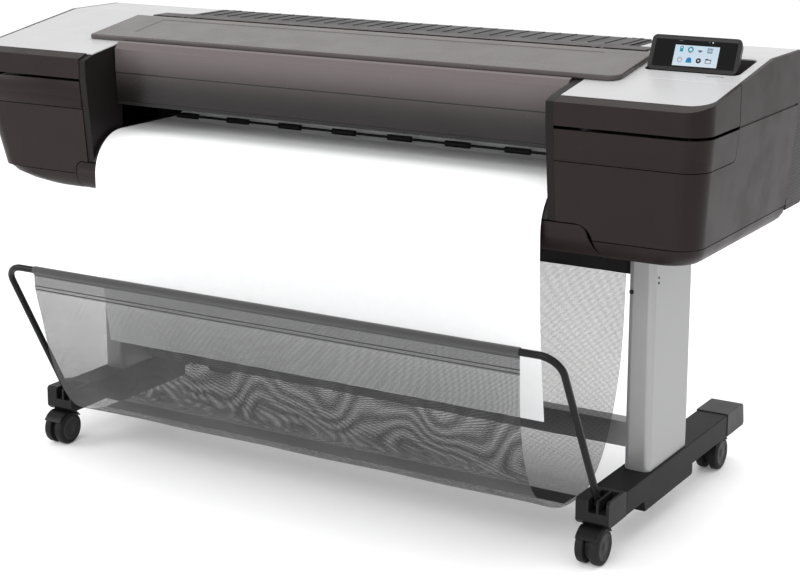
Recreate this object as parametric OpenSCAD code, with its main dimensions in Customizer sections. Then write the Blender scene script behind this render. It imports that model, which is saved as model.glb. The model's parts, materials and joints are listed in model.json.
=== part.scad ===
// Large format roll-fed plotter on a wheeled stand with a fabric catch basket.
// Millimetres, +Z up, front towards -Y. The origin is on the floor, under the middle of
// the whole machine. Inside the modules Y is counted from the middle of the stand columns.

/* [Body] */
// Overall width of the body
body_w = 1802; // [1640:1:2170]
// Height of the body's underside above the floor
under_z = 619; // [540:1:745]
// Distance from the column middle to the front of the end covers
front_d = 318; // [300:1:380]
// Distance from the column middle to the back edge of the end covers
side_back_d = 201; // [190:1:260]
// Height of the bottom pan, from the underside to its seam
pan_h = 36; // [30:1:60]
// Height of the seam under the ink drawers, from the underside
band_h = 188; // [170:1:210]
// Height of the finger undercut above the ink drawers, from the underside
grip_h = 257; // [245:1:300]
// Height of the top of the fascia's flat face, from the underside
strip_h = 303; // [295:1:350]
// Height of the white deck's front edge, from the underside
deck_h = 312; // [305:1:365]
// Rise of the white deck from its front edge to its level part
deck_rise = 53; // [30:1:80]
// Depth over which the white deck rises
deck_run = 326; // [280:1:360]
// Setback of the white deck's front edge behind the front face
deck_setback = 28; // [15:1:40]
// How far the sides draw in at the ink drawer seam
band_draw = 8; // [0:1:20]
// How far the sides draw in at the bottom pan seam
low_draw = 45; // [20:1:60]
// Radius of the front corners at the top
corner_r = 55; // [20:1:80]
// Wall of the plastic covers
wall = 4; // [3:0.5:6]
// Gap at the seams between covers
seam = 1.5; // [1:0.1:3]
// Width of the dark rim round the white decks
rim_w = 8; // [5:1:14]
// Thickness of the white decks
deck_t = 3; // [2:0.5:4]

/* [Media path] */
// Place of the media path's middle across the body
path_x = 5; // [-20:1:20]
// Width of the media
media_w = 1118; // [914:1:1150]
// Clear width between the two cheeks
mouth_w = 1140; // [1125:1:1180]
// Thickness of the cheeks
cheek_t = 17.5; // [12:0.5:30]
// Height of the platen's top above the underside
platen_h = 133; // [120:1:150]
// Thickness of the media
media_t = 0.6; // [0.4:0.1:1]
// Bend radius of the media over the front apron
fall_r = 94; // [70:1:110]
// Height of the hanging media's lower edge above the floor
media_low_z = 265; // [240:1:400]
// Outer radius of the media roll
roll_r = 52; // [40:1:58]
// Radius of the roll's core
core_r = 28; // [20:1:30]
// Radius of the drive roller
drive_r = 14; // [10:1:16]
// Radius of the pinch rollers
pinch_r = 6.5; // [5:0.5:8]

/* [Window and lids] */
// Setback of the window behind the front face
window_setback = 102; // [90:1:115]
// Height of the window's lower edge above the underside
window_low_h = 189; // [175:1:210]
// Thickness of the window
window_t = 4; // [3:0.5:6]
// Width of the top lid
lid_w = 1323; // [1250:1:1400]
// Depth of the top lid
lid_d = 173; // [150:1:180]
// Thickness of the top lid
lid_t = 11; // [8:0.5:16]
// Radius of the top lid's front corners
lid_r = 26; // [10:1:40]
// Depth of the roll loading table
table_d = 134; // [120:1:140]
// Thickness of the loading table
table_t = 8; // [6:0.5:12]

/* [Touch panel] */
// Width of the touch panel
touch_w = 188; // [160:1:200]
// Height of the touch panel along its face
touch_h = 74; // [60:1:80]
// Thickness of the touch panel
touch_t = 22; // [16:1:26]
// Lean of the touch panel from upright
touch_lean = 25.5; // [0:0.5:40]
// Distance from the body's right side to the touch panel
touch_inset = 32; // [26:1:60]
// Length of the power key
key_l = 33; // [20:1:40]

/* [Stand] */
// Distance of each foot's middle from the middle of the machine
foot_x = 689; // [600:1:720]
// Width of a foot
foot_w = 73; // [66:1:90]
// Height of the top of a foot above the floor
foot_z = 131; // [120:1:150]
// Depth of a foot's section at its ends
foot_h = 51; // [44:1:54]
// How much deeper a foot is in the middle
foot_belly = 24; // [0:1:30]
// Distance from the column middle to the front end of a foot
foot_front_d = 308; // [290:1:340]
// Distance from the column middle to the back end of a foot
foot_back_d = 431; // [380:1:460]
// Width of a column across the machine
col_w = 58; // [40:1:70]
// Depth of a column
col_d = 206; // [160:1:220]
// Wall of the columns
col_wall = 2.5; // [2:0.5:5]
// Height of the cross beam's section
beam_h = 55; // [40:1:70]
// Depth of the cross beam's section
beam_d = 38; // [30:1:50]
// Radius of the caster wheels
wheel_r = 38; // [30:1:38]
// Width of each caster wheel
wheel_w = 20; // [14:1:24]
// Trail of the casters
trail = 24; // [15:1:30]

/* [Basket] */
// Diameter of the basket tube
tube_d = 15; // [12:0.5:15.5]
// Height of the basket bar above the floor
bar_z = 467; // [420:1:500]
// Distance of the basket bar in front of the column middle
bar_y = 465; // [420:1:500]
// Bend radius of the basket tube
tube_bend = 45; // [30:1:70]
// Width of the basket fabric
mesh_w = 1210; // [1000:1:1240]
// Thickness of the basket fabric
mesh_t = 1.2; // [0.8:0.1:2]
// Lowest height of the basket fabric
mesh_low_z = 84; // [70:1:110]

/* [Hidden] */
$fn = 48;
$left = false;

dark = [0.25, 0.22, 0.22];
darker = [0.16, 0.15, 0.15];
black = [0.09, 0.09, 0.09];
white = [0.86, 0.86, 0.87];
silver = [0.7, 0.7, 0.71];
steel = [0.6, 0.61, 0.62];

eps = 0.01;
gap = 0.3;
run_fit = 0.05;
side_x = body_w / 2;
left_x = path_x - mouth_w / 2;
right_x = path_x + mouth_w / 2;
pan_z = under_z + pan_h;
band_z = under_z + band_h;
grip_z = under_z + grip_h;
strip_z = under_z + strip_h;
deck_z0 = under_z + deck_h;
deck_y0 = deck_setback - front_d;
deck_top_z = deck_z0 + deck_rise;
grip_t = 6;
grip_in = 8;
side_seam_y = -142;
low_corner_r = 45;
roof_z = deck_top_z + 60;
rear_front_y = side_back_d + 1;

bar_r = tube_d / 2;
sleeve_gap = 0.6;
pivot_y = -foot_front_d + 30;
pivot_z = foot_z - 13;
basket_lean = atan2(bar_y + pivot_y, bar_z - pivot_z);
basket_len = norm([bar_y + pivot_y, bar_z - pivot_z]);
cap_front_l = 85;
cap_rear_l = 103;
cap_rise = 4;
slot_w = tube_d + 1.6;
eye_w = slot_w - 2 * gap;
eye_rim = 1.5;
slot_pitch = 22;
pin_r = 3.5;
stem_r = 5;
stem_l = 17;
caster_front_y = -foot_front_d + 33;
caster_rear_y = foot_back_d - 76;
foot_low_z = foot_z - foot_h;
wheel_gap = 12;
axle_r = 4;
axle_half = wheel_gap / 2 + wheel_w - 6;
col_r = 14;
rail_z0 = 512;
rail_h = 36;
rail_y = 20;
rail_t = 12;

platen_z = under_z + platen_h;
media_z = platen_z + 0.4;
fall_y = -213;
fall_z = media_z - fall_r;
drive_y = -28;
drive_z = platen_z - drive_r;
pinch_z = media_z + media_t / 2 + 0.1 + pinch_r;
roll_y = 130;
roll_z = deck_top_z - roll_r - 52;
rod_r = 8;
rod_y = -75;
rod_z = platen_z + 98;
beam_y = -52;
plate_x = side_x - low_draw - 11;
car_w = 150;
car_park_x = plate_x - 110;
car_low_z = platen_z + 8;
car_top_z = platen_z + 128;
open_y0 = -192;
open_y1 = -42;
open_z0 = platen_z - 2;
open_z1 = platen_z + 153;

window_y = -front_d + window_setback;
window_z0 = under_z + window_low_h;
window_top_z = deck_z(window_y + 14) + 6;
window_pin_y = window_y + 19;
window_pin_z = window_top_z - 12;
window_pin_r = 3;
lid_y0 = window_y + 29;
lid_y1 = lid_y0 + lid_d;
lid_gap = 1;
hinge_r = 3;
lid_hinge_y = lid_y1 + 10;
lid_hinge_z = deck_z(lid_hinge_y) + 1;
bridge_y0 = lid_hinge_y + 10;
bridge_y1 = side_back_d - table_d - 7;
table_y0 = bridge_y1 + 2;
table_y1 = table_y0 + table_d;
table_hinge_y = table_y1 + 9;
table_hinge_z = deck_top_z - 5;

touch_x1 = side_x - touch_inset;
touch_x0 = touch_x1 - touch_w;
touch_y = -78;
touch_z = deck_z(touch_y) - 10.5;
touch_lift = 4;
touch_front = 12;
recess_side = 5;
recess_y0 = touch_y - 14;
recess_y1 = touch_y + touch_h + 25;
recess_depth = 33;
key_x = touch_x1 - 36;
key_y = -107;
key_w = 8;
key_gap = 0.4;
key_h = 6;

skirt_z = under_z + 65;
skirt_left_x = -619;
skirt_right_x = 686;
skirt_r = 24;

// The whole machine's middle, front to back, lies on the origin.
front_end = -bar_y - bar_r - sleeve_gap - mesh_t;
centre_y = -(front_end + foot_back_d) / 2;

// Height of the deck's top surface at a depth.
function deck_z(y) = deck_z0 + deck_rise * min(max(y - deck_y0, 0), deck_run) / deck_run;

// How far the covers draw in towards the bottom, at a height. The left end draws in more.
function front_draw(z) = lookup(z, [
    [under_z, 46], [under_z + 9, 34], [under_z + 21, 26],
    [pan_z, 22], [band_z, 7], [grip_z, 0]]);
function end_draw(z, left) = left
    ? lookup(z, [
        [under_z, low_draw + 86], [under_z + 9, low_draw + 50], [under_z + 21, low_draw + 18],
        [pan_z, low_draw], [band_z, band_draw], [grip_z, 0]])
    : front_draw(z);
function face_y(z) = -front_d + front_draw(z);
function edge_r(z) = lookup(z, [[pan_z, low_corner_r], [band_z, corner_r - 10], [grip_z, corner_r]]);

// Points of an arc round a centre, as [y, z].
function arc(c, r, a0, a1, n) = [for (i = [0:n]) c + r * [cos(a0 + (a1 - a0) * i / n),
    sin(a0 + (a1 - a0) * i / n)]];
// Unit normal of a centre line at point i.
function side_of(p, i) = let (d = p[min(i + 1, len(p) - 1)] - p[max(i - 1, 0)]) [-d[1], d[0]] / norm(d);
// Outline of a strip of a thickness along a centre line.
function strip(p, t) = concat([for (i = [0:len(p) - 1]) p[i] + side_of(p, i) * t / 2],
    [for (i = [len(p) - 1:-1:0]) p[i] - side_of(p, i) * t / 2]);

// Centre line of the media from the roll, over the platen and down into the basket.
fall_steps = 12;
hang_steps = 8;
hang_back = 35;
media_line = concat(
    [[roll_y + 22, roll_z - roll_r + 4 - media_t], [60, media_z + 34], [18, media_z + 9],
     [0, media_z + 1.6], [-14, media_z]],
    arc([fall_y, fall_z], fall_r, 90, 180, fall_steps),
    [for (i = [1:hang_steps]) [fall_y - fall_r + hang_back * pow(i / hang_steps, 2),
        fall_z - (fall_z - media_low_z) * i / hang_steps]]);

// Centre line of the basket fabric, front bar to rear rail.
mesh_top_z = bar_z - bar_r - 2;
mesh_drop = mesh_top_z - mesh_low_z;
mesh_low_y = -190;
mesh_back_y = rail_y - mesh_t / 2 - gap;
mesh_back_drop = rail_z0 - mesh_low_z;
mesh_steps = 12;
mesh_front = [for (i = [0:mesh_steps]) let (a = 90 * i / mesh_steps)
    [mesh_low_y - (bar_y + mesh_low_y) * pow(cos(a), 0.8), mesh_low_z + mesh_drop * pow(1 - sin(a), 1.1)]];
mesh_rear = [for (i = [1:mesh_steps]) let (a = 90 * i / mesh_steps)
    [mesh_low_y + (mesh_back_y - mesh_low_y) * pow(sin(a), 0.9),
     mesh_low_z + mesh_back_drop * pow(1 - cos(a), 0.95)]];
mesh_line = concat(mesh_front, mesh_rear, [[mesh_back_y, rail_z0 + rail_h - 2]]);

module placed() { translate([0, centre_y, 0]) children(); }
module both() { for (s = [0, 1]) mirror([s, 0, 0]) children(); }
// Extrudes a [y, z] outline along X from x0 to x1.
module along_x(x0, x1) {
    translate([x0, 0, 0]) rotate([90, 0, 90]) linear_extrude(x1 - x0) children();
}
module box(a, b) { translate(a) cube(b - a); }
// Round bar along X through a [y, z] point.
module bar_x(c, r, x0, x1) {
    translate([x0, c[0], c[1]]) rotate([0, 90, 0]) cylinder(h = x1 - x0, r = r);
}
module round_rect(w, d, r) {
    square([w - 2 * r, d], center = true);
    square([w, d - 2 * r], center = true);
    for (i = [-1, 1]) for (j = [-1, 1]) translate([i * (w / 2 - r), j * (d / 2 - r)]) circle(r);
}

// ---- Stand ----
module foot_outline() {
    y0 = cap_front_l - foot_front_d;
    y1 = foot_back_d - cap_rear_l;
    belly_y = 135;
    polygon([[y0, foot_low_z], [-belly_y - 20, foot_low_z], [-belly_y - 20, foot_low_z + 4],
        [-belly_y, foot_low_z + 4], [-belly_y + 8, foot_low_z - foot_belly],
        [belly_y - 16, foot_low_z - foot_belly], [belly_y - 8, foot_low_z - foot_belly + 8],
        [belly_y - 8, foot_low_z - 6], [belly_y, foot_low_z],
        [y1, foot_low_z], [y1, foot_z], [y0, foot_z]]);
}
module foot() {
    t = 3;
    translate([foot_x - foot_w / 2, 0, 0]) difference() {
        along_x(0, foot_w) foot_outline();
        along_x(t, foot_w - t) offset(delta = -t) foot_outline();
    }
}
module foot_left() { color(darker) placed() mirror([1, 0, 0]) foot(); }
module foot_right() { color(darker) placed() foot(); }

// Front end of a foot: the clevis for the basket tube and the caster socket.
module front_cap() {
    y0 = -foot_front_d;
    y1 = y0 + cap_front_l;
    top = foot_z + cap_rise;
    difference() {
        along_x(-foot_w / 2, foot_w / 2) polygon([[y0, foot_low_z + 8], [y0 + 8, foot_low_z],
            [y1, foot_low_z], [y1, foot_z], [y1 - 8, top], [y0 + 5, top], [y0, top - 5]]);
        for (x = [0, slot_pitch]) translate([x - slot_w / 2, 0, 0])
            box([0, y0 - 1, pivot_z - 10], [slot_w, pivot_y + 34, top + 1]);
        translate([0, caster_front_y, foot_low_z - 1]) cylinder(h = stem_l + 2, r = stem_r + run_fit);
    }
    bar_x([pivot_y, pivot_z], pin_r, -foot_w / 2 + 4, slot_w / 2 + 2);
}
module front_caps() { color(black) placed() for (s = [-1, 1]) translate([s * foot_x, 0, 0]) front_cap(); }
module rear_caps() {
    y0 = foot_back_d - cap_rear_l;
    color([0.24, 0.24, 0.25]) placed() for (s = [-1, 1]) translate([s * foot_x, 0, 0]) difference() {
        along_x(-foot_w / 2 - 1.5, foot_w / 2 + 1.5) polygon([
            [y0, foot_low_z], [foot_back_d - 6, foot_low_z],
            [foot_back_d, foot_low_z + 6], [foot_back_d - 6, foot_z - 3], [foot_back_d - 12, foot_z + 2],
            [y0, foot_z + 2]]);
        translate([0, caster_rear_y, foot_low_z - 1]) cylinder(h = stem_l + 2, r = stem_r + run_fit);
    }
}

module column() {
    translate([foot_x + 2, 0, foot_z]) difference() {
        linear_extrude(under_z - foot_z) round_rect(col_w, col_d, col_r);
        translate([0, 0, -1]) linear_extrude(under_z - foot_z + 2)
            round_rect(col_w - 2 * col_wall, col_d - 2 * col_wall, col_r - col_wall);
    }
}
module column_left() { color(silver) placed() mirror([1, 0, 0]) column(); }
module column_right() { color(silver) placed() column(); }
col_in_x = foot_x + 2 - col_w / 2;
beam_y0 = -7;
module cross_beam() {
    z0 = foot_z + 10;
    t = 2;
    color(silver) placed() difference() {
        box([-col_in_x, beam_y0, z0], [col_in_x, beam_y0 + beam_d, z0 + beam_h]);
        box([-col_in_x - 1, beam_y0 + t, z0 + t], [col_in_x + 1, beam_y0 + beam_d - t, z0 + beam_h - t]);
    }
}
module stand_screws() {
    head_r = 4;
    color(black) placed() both() {
        translate([col_in_x + 9, -col_d / 2, 510]) rotate([90, 0, 0]) cylinder(h = 1.5, r = 5);
        for (z = [530, 541]) bar_x([-col_d / 2 + 23, z], 2.5, col_in_x + col_w, col_in_x + col_w + 1.2);
        for (y = [-60, 60]) translate([foot_x, y, foot_low_z - foot_belly - 2]) cylinder(h = 2, r = head_r);
        for (y = [-8, 8]) bar_x([rail_y + rail_t + 4, rail_z0 + rail_h / 2 + y], 3, col_in_x - 3, col_in_x);
    }
}

// Twin-wheel caster: the fork carries the axle between its two wheels.
module caster_fork(s, y, t) {
    top = foot_low_z - gap;
    neck_z = wheel_r * 2 + 1;
    color(black) placed() translate([s * foot_x, y, 0]) {
        translate([0, 0, top]) cylinder(h = stem_l, r = stem_r);
        translate([0, 0, neck_z]) cylinder(h = top - neck_z, r = 17);
        bar_x([t, wheel_r], wheel_r - 9, -wheel_gap / 2, wheel_gap / 2);
        box([-wheel_gap / 2, min(0, t) - 12, wheel_r], [wheel_gap / 2, max(0, t) + 12, top - 2]);
        bar_x([t, wheel_r], axle_r, -axle_half, axle_half);
    }
}
module caster_wheels(s, y, t) {
    color(black) placed() translate([s * foot_x, y + t, wheel_r]) both() rotate([0, 90, 0])
        translate([0, 0, wheel_gap / 2 + gap]) difference() {
            rotate_extrude($fn = 64) polygon([
                [0, 0], [wheel_r - 2, 0], [wheel_r, 2], [wheel_r, wheel_w - 4],
                [wheel_r - 4, wheel_w], [wheel_r - 8, wheel_w],
                [wheel_r - 10, wheel_w - 2], [0, wheel_w - 2]]);
            translate([0, 0, -1]) cylinder(h = axle_half - wheel_gap / 2 + 1, r = axle_r + run_fit);
        }
}
module caster_fork_fl() caster_fork(-1, caster_front_y, -trail);
module caster_fork_fr() caster_fork(1, caster_front_y, -trail);
module caster_fork_rl() caster_fork(-1, caster_rear_y, -trail);
module caster_fork_rr() caster_fork(1, caster_rear_y, -trail);
module caster_wheels_fl() caster_wheels(-1, caster_front_y, -trail);
module caster_wheels_fr() caster_wheels(1, caster_front_y, -trail);
module caster_wheels_rl() caster_wheels(-1, caster_rear_y, -trail);
module caster_wheels_rr() caster_wheels(1, caster_rear_y, -trail);

// ---- Basket ----
module basket_tube() {
    h = basket_len;
    color(black) placed() translate([0, pivot_y, pivot_z]) rotate([basket_lean, 0, 0]) {
        both() {
            difference() {
                union() {
                    translate([foot_x, 0, 0]) cylinder(h = h - tube_bend, r = bar_r);
                    bar_x([0, 0], bar_r + eye_rim, foot_x - eye_w / 2, foot_x + eye_w / 2);
                }
                bar_x([0, 0], pin_r + run_fit, foot_x - eye_w, foot_x + eye_w);
            }
            translate([foot_x - tube_bend, 0, h - tube_bend]) rotate([90, 0, 0])
                rotate_extrude(angle = 90) translate([tube_bend, 0]) circle(bar_r);
        }
        bar_x([0, h], bar_r, tube_bend - foot_x, foot_x - tube_bend);
    }
}
module basket_mesh() {
    color([0.3, 0.3, 0.31]) placed() {
        along_x(-mesh_w / 2, mesh_w / 2) polygon(strip(mesh_line, mesh_t));
        difference() {
            bar_x([-bar_y, bar_z], bar_r + sleeve_gap + mesh_t, -mesh_w / 2, mesh_w / 2);
            bar_x([-bar_y, bar_z], bar_r + sleeve_gap, -mesh_w / 2 - 1, mesh_w / 2 + 1);
        }
    }
}
module basket_batten() {
    n = len(mesh_front);
    line = [for (i = [n - 2:n - 1]) mesh_line[i] + [0, mesh_t + 0.8]];
    color(black) placed() along_x(8 - mesh_w / 2, mesh_w / 2 - 8) polygon(strip(line, mesh_t));
}
module basket_rail() {
    color(black) placed() box([-col_in_x, rail_y, rail_z0], [col_in_x, rail_y + rail_t, rail_z0 + rail_h]);
}

// ---- Covers ----
inner_left = -left_x + cheek_t;
inner_right = right_x + cheek_t;

// One level of an end cover's outline, drawn in by g, from the inner face x0 outwards.
module end_slice(x0, z, g, grow = 0) {
    r = max(edge_r(z) - g, 2);
    x1 = side_x - end_draw(z, $left) - g;
    y0 = face_y(z) + g;
    y1 = side_back_d - g;
    translate([0, 0, z]) linear_extrude(eps) {
        translate([x0 - grow, y0 + r]) square([x1 - x0 + grow, y1 - y0 - r]);
        translate([x0 - grow, y0]) square([x1 - x0 + grow - r, r + 1]);
        translate([x1 - r, y0 + r]) circle(r);
    }
}
module end_block(x0, z0, z1, g, grow = 0) {
    hull() {
        end_slice(x0, z0, g, grow);
        end_slice(x0, z1 - eps, g, grow);
    }
}
// Front, outer and back wall between two heights.
module end_wall(x0, z0, z1, t) {
    difference() {
        end_block(x0, z0, z1, 0);
        end_block(x0, z0 - 1, z1 + 1, t, 2);
    }
}
// Everything above the deck's top surface, and in front of its chamfer.
module above_deck(lower = 0) {
    along_x(-side_x - 5, side_x + 5) polygon([[-front_d - 5, strip_z - lower], [-front_d, strip_z - lower],
        [deck_y0, deck_z0 - lower], [deck_y0 + deck_run, deck_top_z - lower],
        [side_back_d + 5, deck_top_z - lower], [side_back_d + 5, roof_z], [-front_d - 5, roof_z]]);
}
// Outline of the lower front skirt in the front view, grown by g.
module skirt_outline(g) {
    x0 = skirt_left_x - g;
    x1 = skirt_right_x + g;
    z1 = skirt_z + g;
    slant = 26;
    polygon([[x0, under_z - 5], [x0, z1 - skirt_r], [x0 + skirt_r, z1], [x1 - slant - skirt_r, z1],
        [x1 - slant, z1 - skirt_r], [x1, under_z - 5]]);
    translate([x0 + skirt_r, z1 - skirt_r]) circle(skirt_r);
    translate([x1 - slant - skirt_r, z1 - skirt_r]) circle(skirt_r);
}
module skirt_block(g, y0, y1) {
    translate([0, y1, 0]) rotate([90, 0, 0]) linear_extrude(y1 - y0) skirt_outline(g);
}

module side_cover(x0) {
    seam_y = side_seam_y + seam / 2;
    difference() {
        union() {
            end_wall(x0, pan_z + seam / 2, band_z, wall);
            end_wall(x0, band_z - eps, grip_z, wall);
            end_wall(x0, grip_z - eps, roof_z, wall);
            box([side_x - rim_w, seam_y, deck_top_z - 40], [side_x - 1, side_back_d - 1, roof_z]);
        }
        above_deck();
        box([x0 - 5, -front_d - 5, band_z - seam / 2], [side_x + 5, seam_y, roof_z]);
        box([side_x - 3, seam_y - 1, grip_z - 4], [side_x + 5, side_back_d - 10, grip_z]);
        along_x(side_x - rim_w - 1, side_x - wall) polygon([
            [seam_y - 1, band_z], [deck_y0 + deck_run, deck_top_z - 10],
            [side_back_d - wall, deck_top_z - 10], [side_back_d - wall, band_z]]);
    }
}
module side_cover_left() {
    color(dark) placed() difference() {
        mirror([1, 0, 0]) side_cover(inner_left, $left = true);
        skirt_block(seam, -front_d, -front_d + 60);
    }
}
module side_cover_right() {
    color(dark) placed() difference() {
        side_cover(inner_right);
        skirt_block(seam, -front_d, -front_d + 60);
    }
}

// Dark fascia over the ink drawer, with the chamfered rim that frames the white deck.
module fascia(x0) {
    difference() {
        union() {
            end_wall(x0, grip_z, roof_z, wall);
            difference() {
                end_wall(x0, strip_z - 6, roof_z, rim_w);
                box([x0 - 5, -front_d + deck_setback + 4, 0],
                    [side_x - rim_w - 40, side_seam_y + 5, roof_z]);
            }
            box([x0, -front_d + wall - 1, strip_z - 8], [side_x - corner_r, deck_y0, roof_z]);
            box([x0, -front_d + wall - 1, grip_z],
                [side_x - corner_r, -front_d + grip_in + 6, grip_z + wall]);
        }
        above_deck();
        box([x0 - 5, side_seam_y - seam / 2, 0], [side_x + 5, side_back_d + 5, roof_z]);
    }
}
module fascia_left() { color(dark) placed() mirror([1, 0, 0]) fascia(inner_left, $left = true); }
module fascia_right() { color(dark) placed() fascia(inner_right); }

// White deck panel: a sheet that lies inside the dark rim, with a fine crease over the seam.
module deck(x0) {
    g = rim_w + 0.4;
    crease = 1;
    difference() {
        intersection() {
            end_block(x0, strip_z - 20, roof_z, g, 0);
            along_x(x0, side_x) polygon([[deck_y0, deck_z0], [deck_y0 + deck_run, deck_top_z],
                [side_back_d, deck_top_z], [side_back_d, deck_top_z - deck_t],
                [deck_y0 + deck_run, deck_top_z - deck_t], [deck_y0, deck_z0 - deck_t]]);
        }
        box([x0 - 1, side_seam_y - crease, deck_z(side_seam_y) - 0.8],
            [side_x, side_seam_y + crease, roof_z]);
    }
}
module deck_left() { color(white) placed() mirror([1, 0, 0]) deck(-left_x + 1); }
module recess_outline(g) {
    translate([(touch_x0 + touch_x1) / 2, (recess_y0 + recess_y1) / 2])
        round_rect(touch_w + 2 * recess_side + 2 * g, recess_y1 - recess_y0 + 2 * g, 14 + g);
}
module key_outline(g) {
    translate([key_x, key_y]) round_rect(key_l + 2 * g, key_w + 2 * g, key_w / 2 + g - eps);
}
module deck_right() {
    t = 3;
    floor_z = deck_z(recess_y0) - recess_depth;
    key_z = deck_z(key_y);
    color(white) placed() difference() {
        union() {
            deck(inner_right + 1);
            difference() {
                translate([0, 0, floor_z - t]) linear_extrude(deck_top_z - floor_z) recess_outline(t);
                above_deck(deck_t - eps);
            }
            difference() {
                translate([0, 0, key_z - key_h - 5]) linear_extrude(key_h + 6) key_outline(t);
                above_deck(deck_t - eps);
            }
        }
        translate([0, 0, floor_z]) linear_extrude(200) recess_outline(0);
        translate([0, 0, key_z - key_h - 2]) linear_extrude(40) key_outline(key_gap);
        bar_x([touch_y, touch_z], hinge_r + run_fit,
            touch_x0 - recess_side - 2, touch_x1 + recess_side + 2);
    }
}

// Inner wall of an end module. It carries the rollers, and the carriage runs through it.
module cheek(top_drop) {
    back = side_back_d - 1;
    difference() {
        along_x(0, cheek_t) polygon([[face_y(pan_z) + 3, pan_z + 1], [face_y(band_z) + 2, band_z],
            [-front_d + 2, grip_z], [-front_d + 2, strip_z - top_drop], [deck_y0, deck_z0 - top_drop],
            [deck_y0 + deck_run, deck_top_z - top_drop], [back, deck_top_z - top_drop], [back, pan_z + 1]]);
        box([-1, open_y0, open_z0], [cheek_t + 1, open_y1, open_z1]);
        bar_x([window_pin_y, window_pin_z], window_pin_r + run_fit, -1, 11);
        bar_x([drive_y, drive_z], 6 + run_fit, -1, 9);
        bar_x([drive_y, pinch_z], 3 + run_fit, -1, 9);
        bar_x([roll_y, roll_z], 8 + run_fit, -1, 11);
        along_x(-1, cheek_t + 1) translate([face_y(pan_z) - 10, under_z - 5])
            square([10 + wall + 6, skirt_z + seam - under_z + 5]);
    }
}
module cheek_left() {
    color(darker) placed() translate([left_x, 0, 0]) mirror([1, 0, 0]) cheek(deck_t + 0.4);
}
module cheek_right() {
    color(darker) placed() translate([right_x, 0, 0]) cheek(0);
}

module bottom_pan() {
    module level(z, g) {
        r = max(edge_r(z) - g, 2);
        x0 = end_draw(z, true) + g - side_x;
        x1 = side_x - end_draw(z, false) - g;
        y0 = face_y(z) + g;
        translate([(x0 + x1) / 2, (y0 + side_back_d - g) / 2, z]) linear_extrude(eps)
            round_rect(x1 - x0, side_back_d - g - y0, r);
    }
    color(dark) placed() difference() {
        hull() {
            for (z = [under_z, under_z + 9, under_z + 21, pan_z - seam / 2]) level(z, 0);
        }
        hull() {
            level(under_z + wall, wall);
            level(under_z + 21, wall);
            level(pan_z + 1, wall);
        }
        skirt_block(seam, -front_d, -front_d + 62);
    }
}
module front_skirt() {
    zs = [skirt_z, pan_z, under_z + 21, under_z + 9, under_z + 0.5];
    color(darker) placed() intersection() {
        skirt_block(0, -front_d - 1, -front_d + 70);
        along_x(skirt_left_x - 1, skirt_right_x + 1) polygon(concat([for (z = zs) [face_y(z), z]],
            [for (i = [len(zs) - 1:-1:0]) [face_y(zs[i]) + wall, zs[i] + (i > 1 ? wall : 0)]]));
    }
}
module output_apron() {
    r = fall_r - 2.4;
    t = 3;
    ribs = 14;
    end_a = 180 - asin((skirt_z + 3 - fall_z) / r);
    c = [fall_y, fall_z];
    color(black) placed() {
        along_x(left_x, right_x)
            polygon(concat(arc(c, r - 1, 90, end_a, 16), arc(c, r - 1 - t, end_a, 90, 16)));
        for (i = [0:ribs]) translate([left_x + 20 + i * (mouth_w - 46) / ribs, 0, 0])
            along_x(0, 6) polygon(concat(arc(c, r, 90, end_a, 16), arc(c, r - 2, end_a, 90, 16)));
    }
}

// ---- Ink drawers ----
drawer_back_y = -194;
drawer_floor_z = band_z + 5;
module ink_drawer(x0) {
    z0 = band_z + seam / 2;
    z1 = grip_z - grip_t;
    r = 12;
    difference() {
        union() {
            end_wall(x0 + 1, z0, z1, wall);
            intersection() {
                end_block(x0 + 1, z0, z1, wall / 2);
                box([x0 + 1, -front_d, drawer_floor_z], [side_x, drawer_back_y, drawer_floor_z + 3]);
            }
            intersection() {
                end_block(x0 + 1, z1 - 3, grip_z, grip_in);
                box([x0 + 1, -front_d, z1 - 3], [side_x, -front_d + grip_in + 10, grip_z - 1]);
            }
        }
        box([x0 - 5, side_seam_y - seam / 2, 0], [side_x + 5, side_back_d + 5, roof_z]);
        translate([0, side_seam_y - seam / 2 - r, z0 + r]) difference() {
            box([side_x - 40, 0, -r - 2], [side_x + 5, r + 2, 0]);
            bar_x([0, 0], r, side_x - 41, side_x + 6);
        }
    }
}
module ink_drawer_left() { color(dark) placed() mirror([1, 0, 0]) ink_drawer(inner_left, $left = true); }
module ink_drawer_right() { color(dark) placed() ink_drawer(inner_right); }
cartridge_w = 82;
module cartridges(x0) {
    h = grip_z - grip_t - drawer_floor_z - 4;
    for (i = [0:2]) translate([x0 + 10 + i * (cartridge_w + 6), -front_d + 20, drawer_floor_z + 3]) {
        cube([cartridge_w, drawer_back_y + front_d - 24, h - 8]);
        translate([10, 4, h - 8]) cube([cartridge_w - 20, 40, 6]);
    }
}
module ink_cartridges_left() { color(black) placed() mirror([1, 0, 0]) cartridges(inner_left); }
module ink_cartridges_right() { color(black) placed() cartridges(inner_right); }
module runners(x0) {
    top = drawer_floor_z - gap;
    y0 = -front_d + 24;
    box([x0, y0, top - 20], [x0 + 3 * cartridge_w, drawer_back_y, top - 17]);
    for (x = [x0 + 6, x0 + 3 * cartridge_w - 14])
        box([x, y0, top - 17 - eps], [x + 12, drawer_back_y, top]);
}
module drawer_runners() {
    color(steel) placed() {
        runners(inner_right);
        mirror([1, 0, 0]) runners(inner_left);
    }
}

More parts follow.
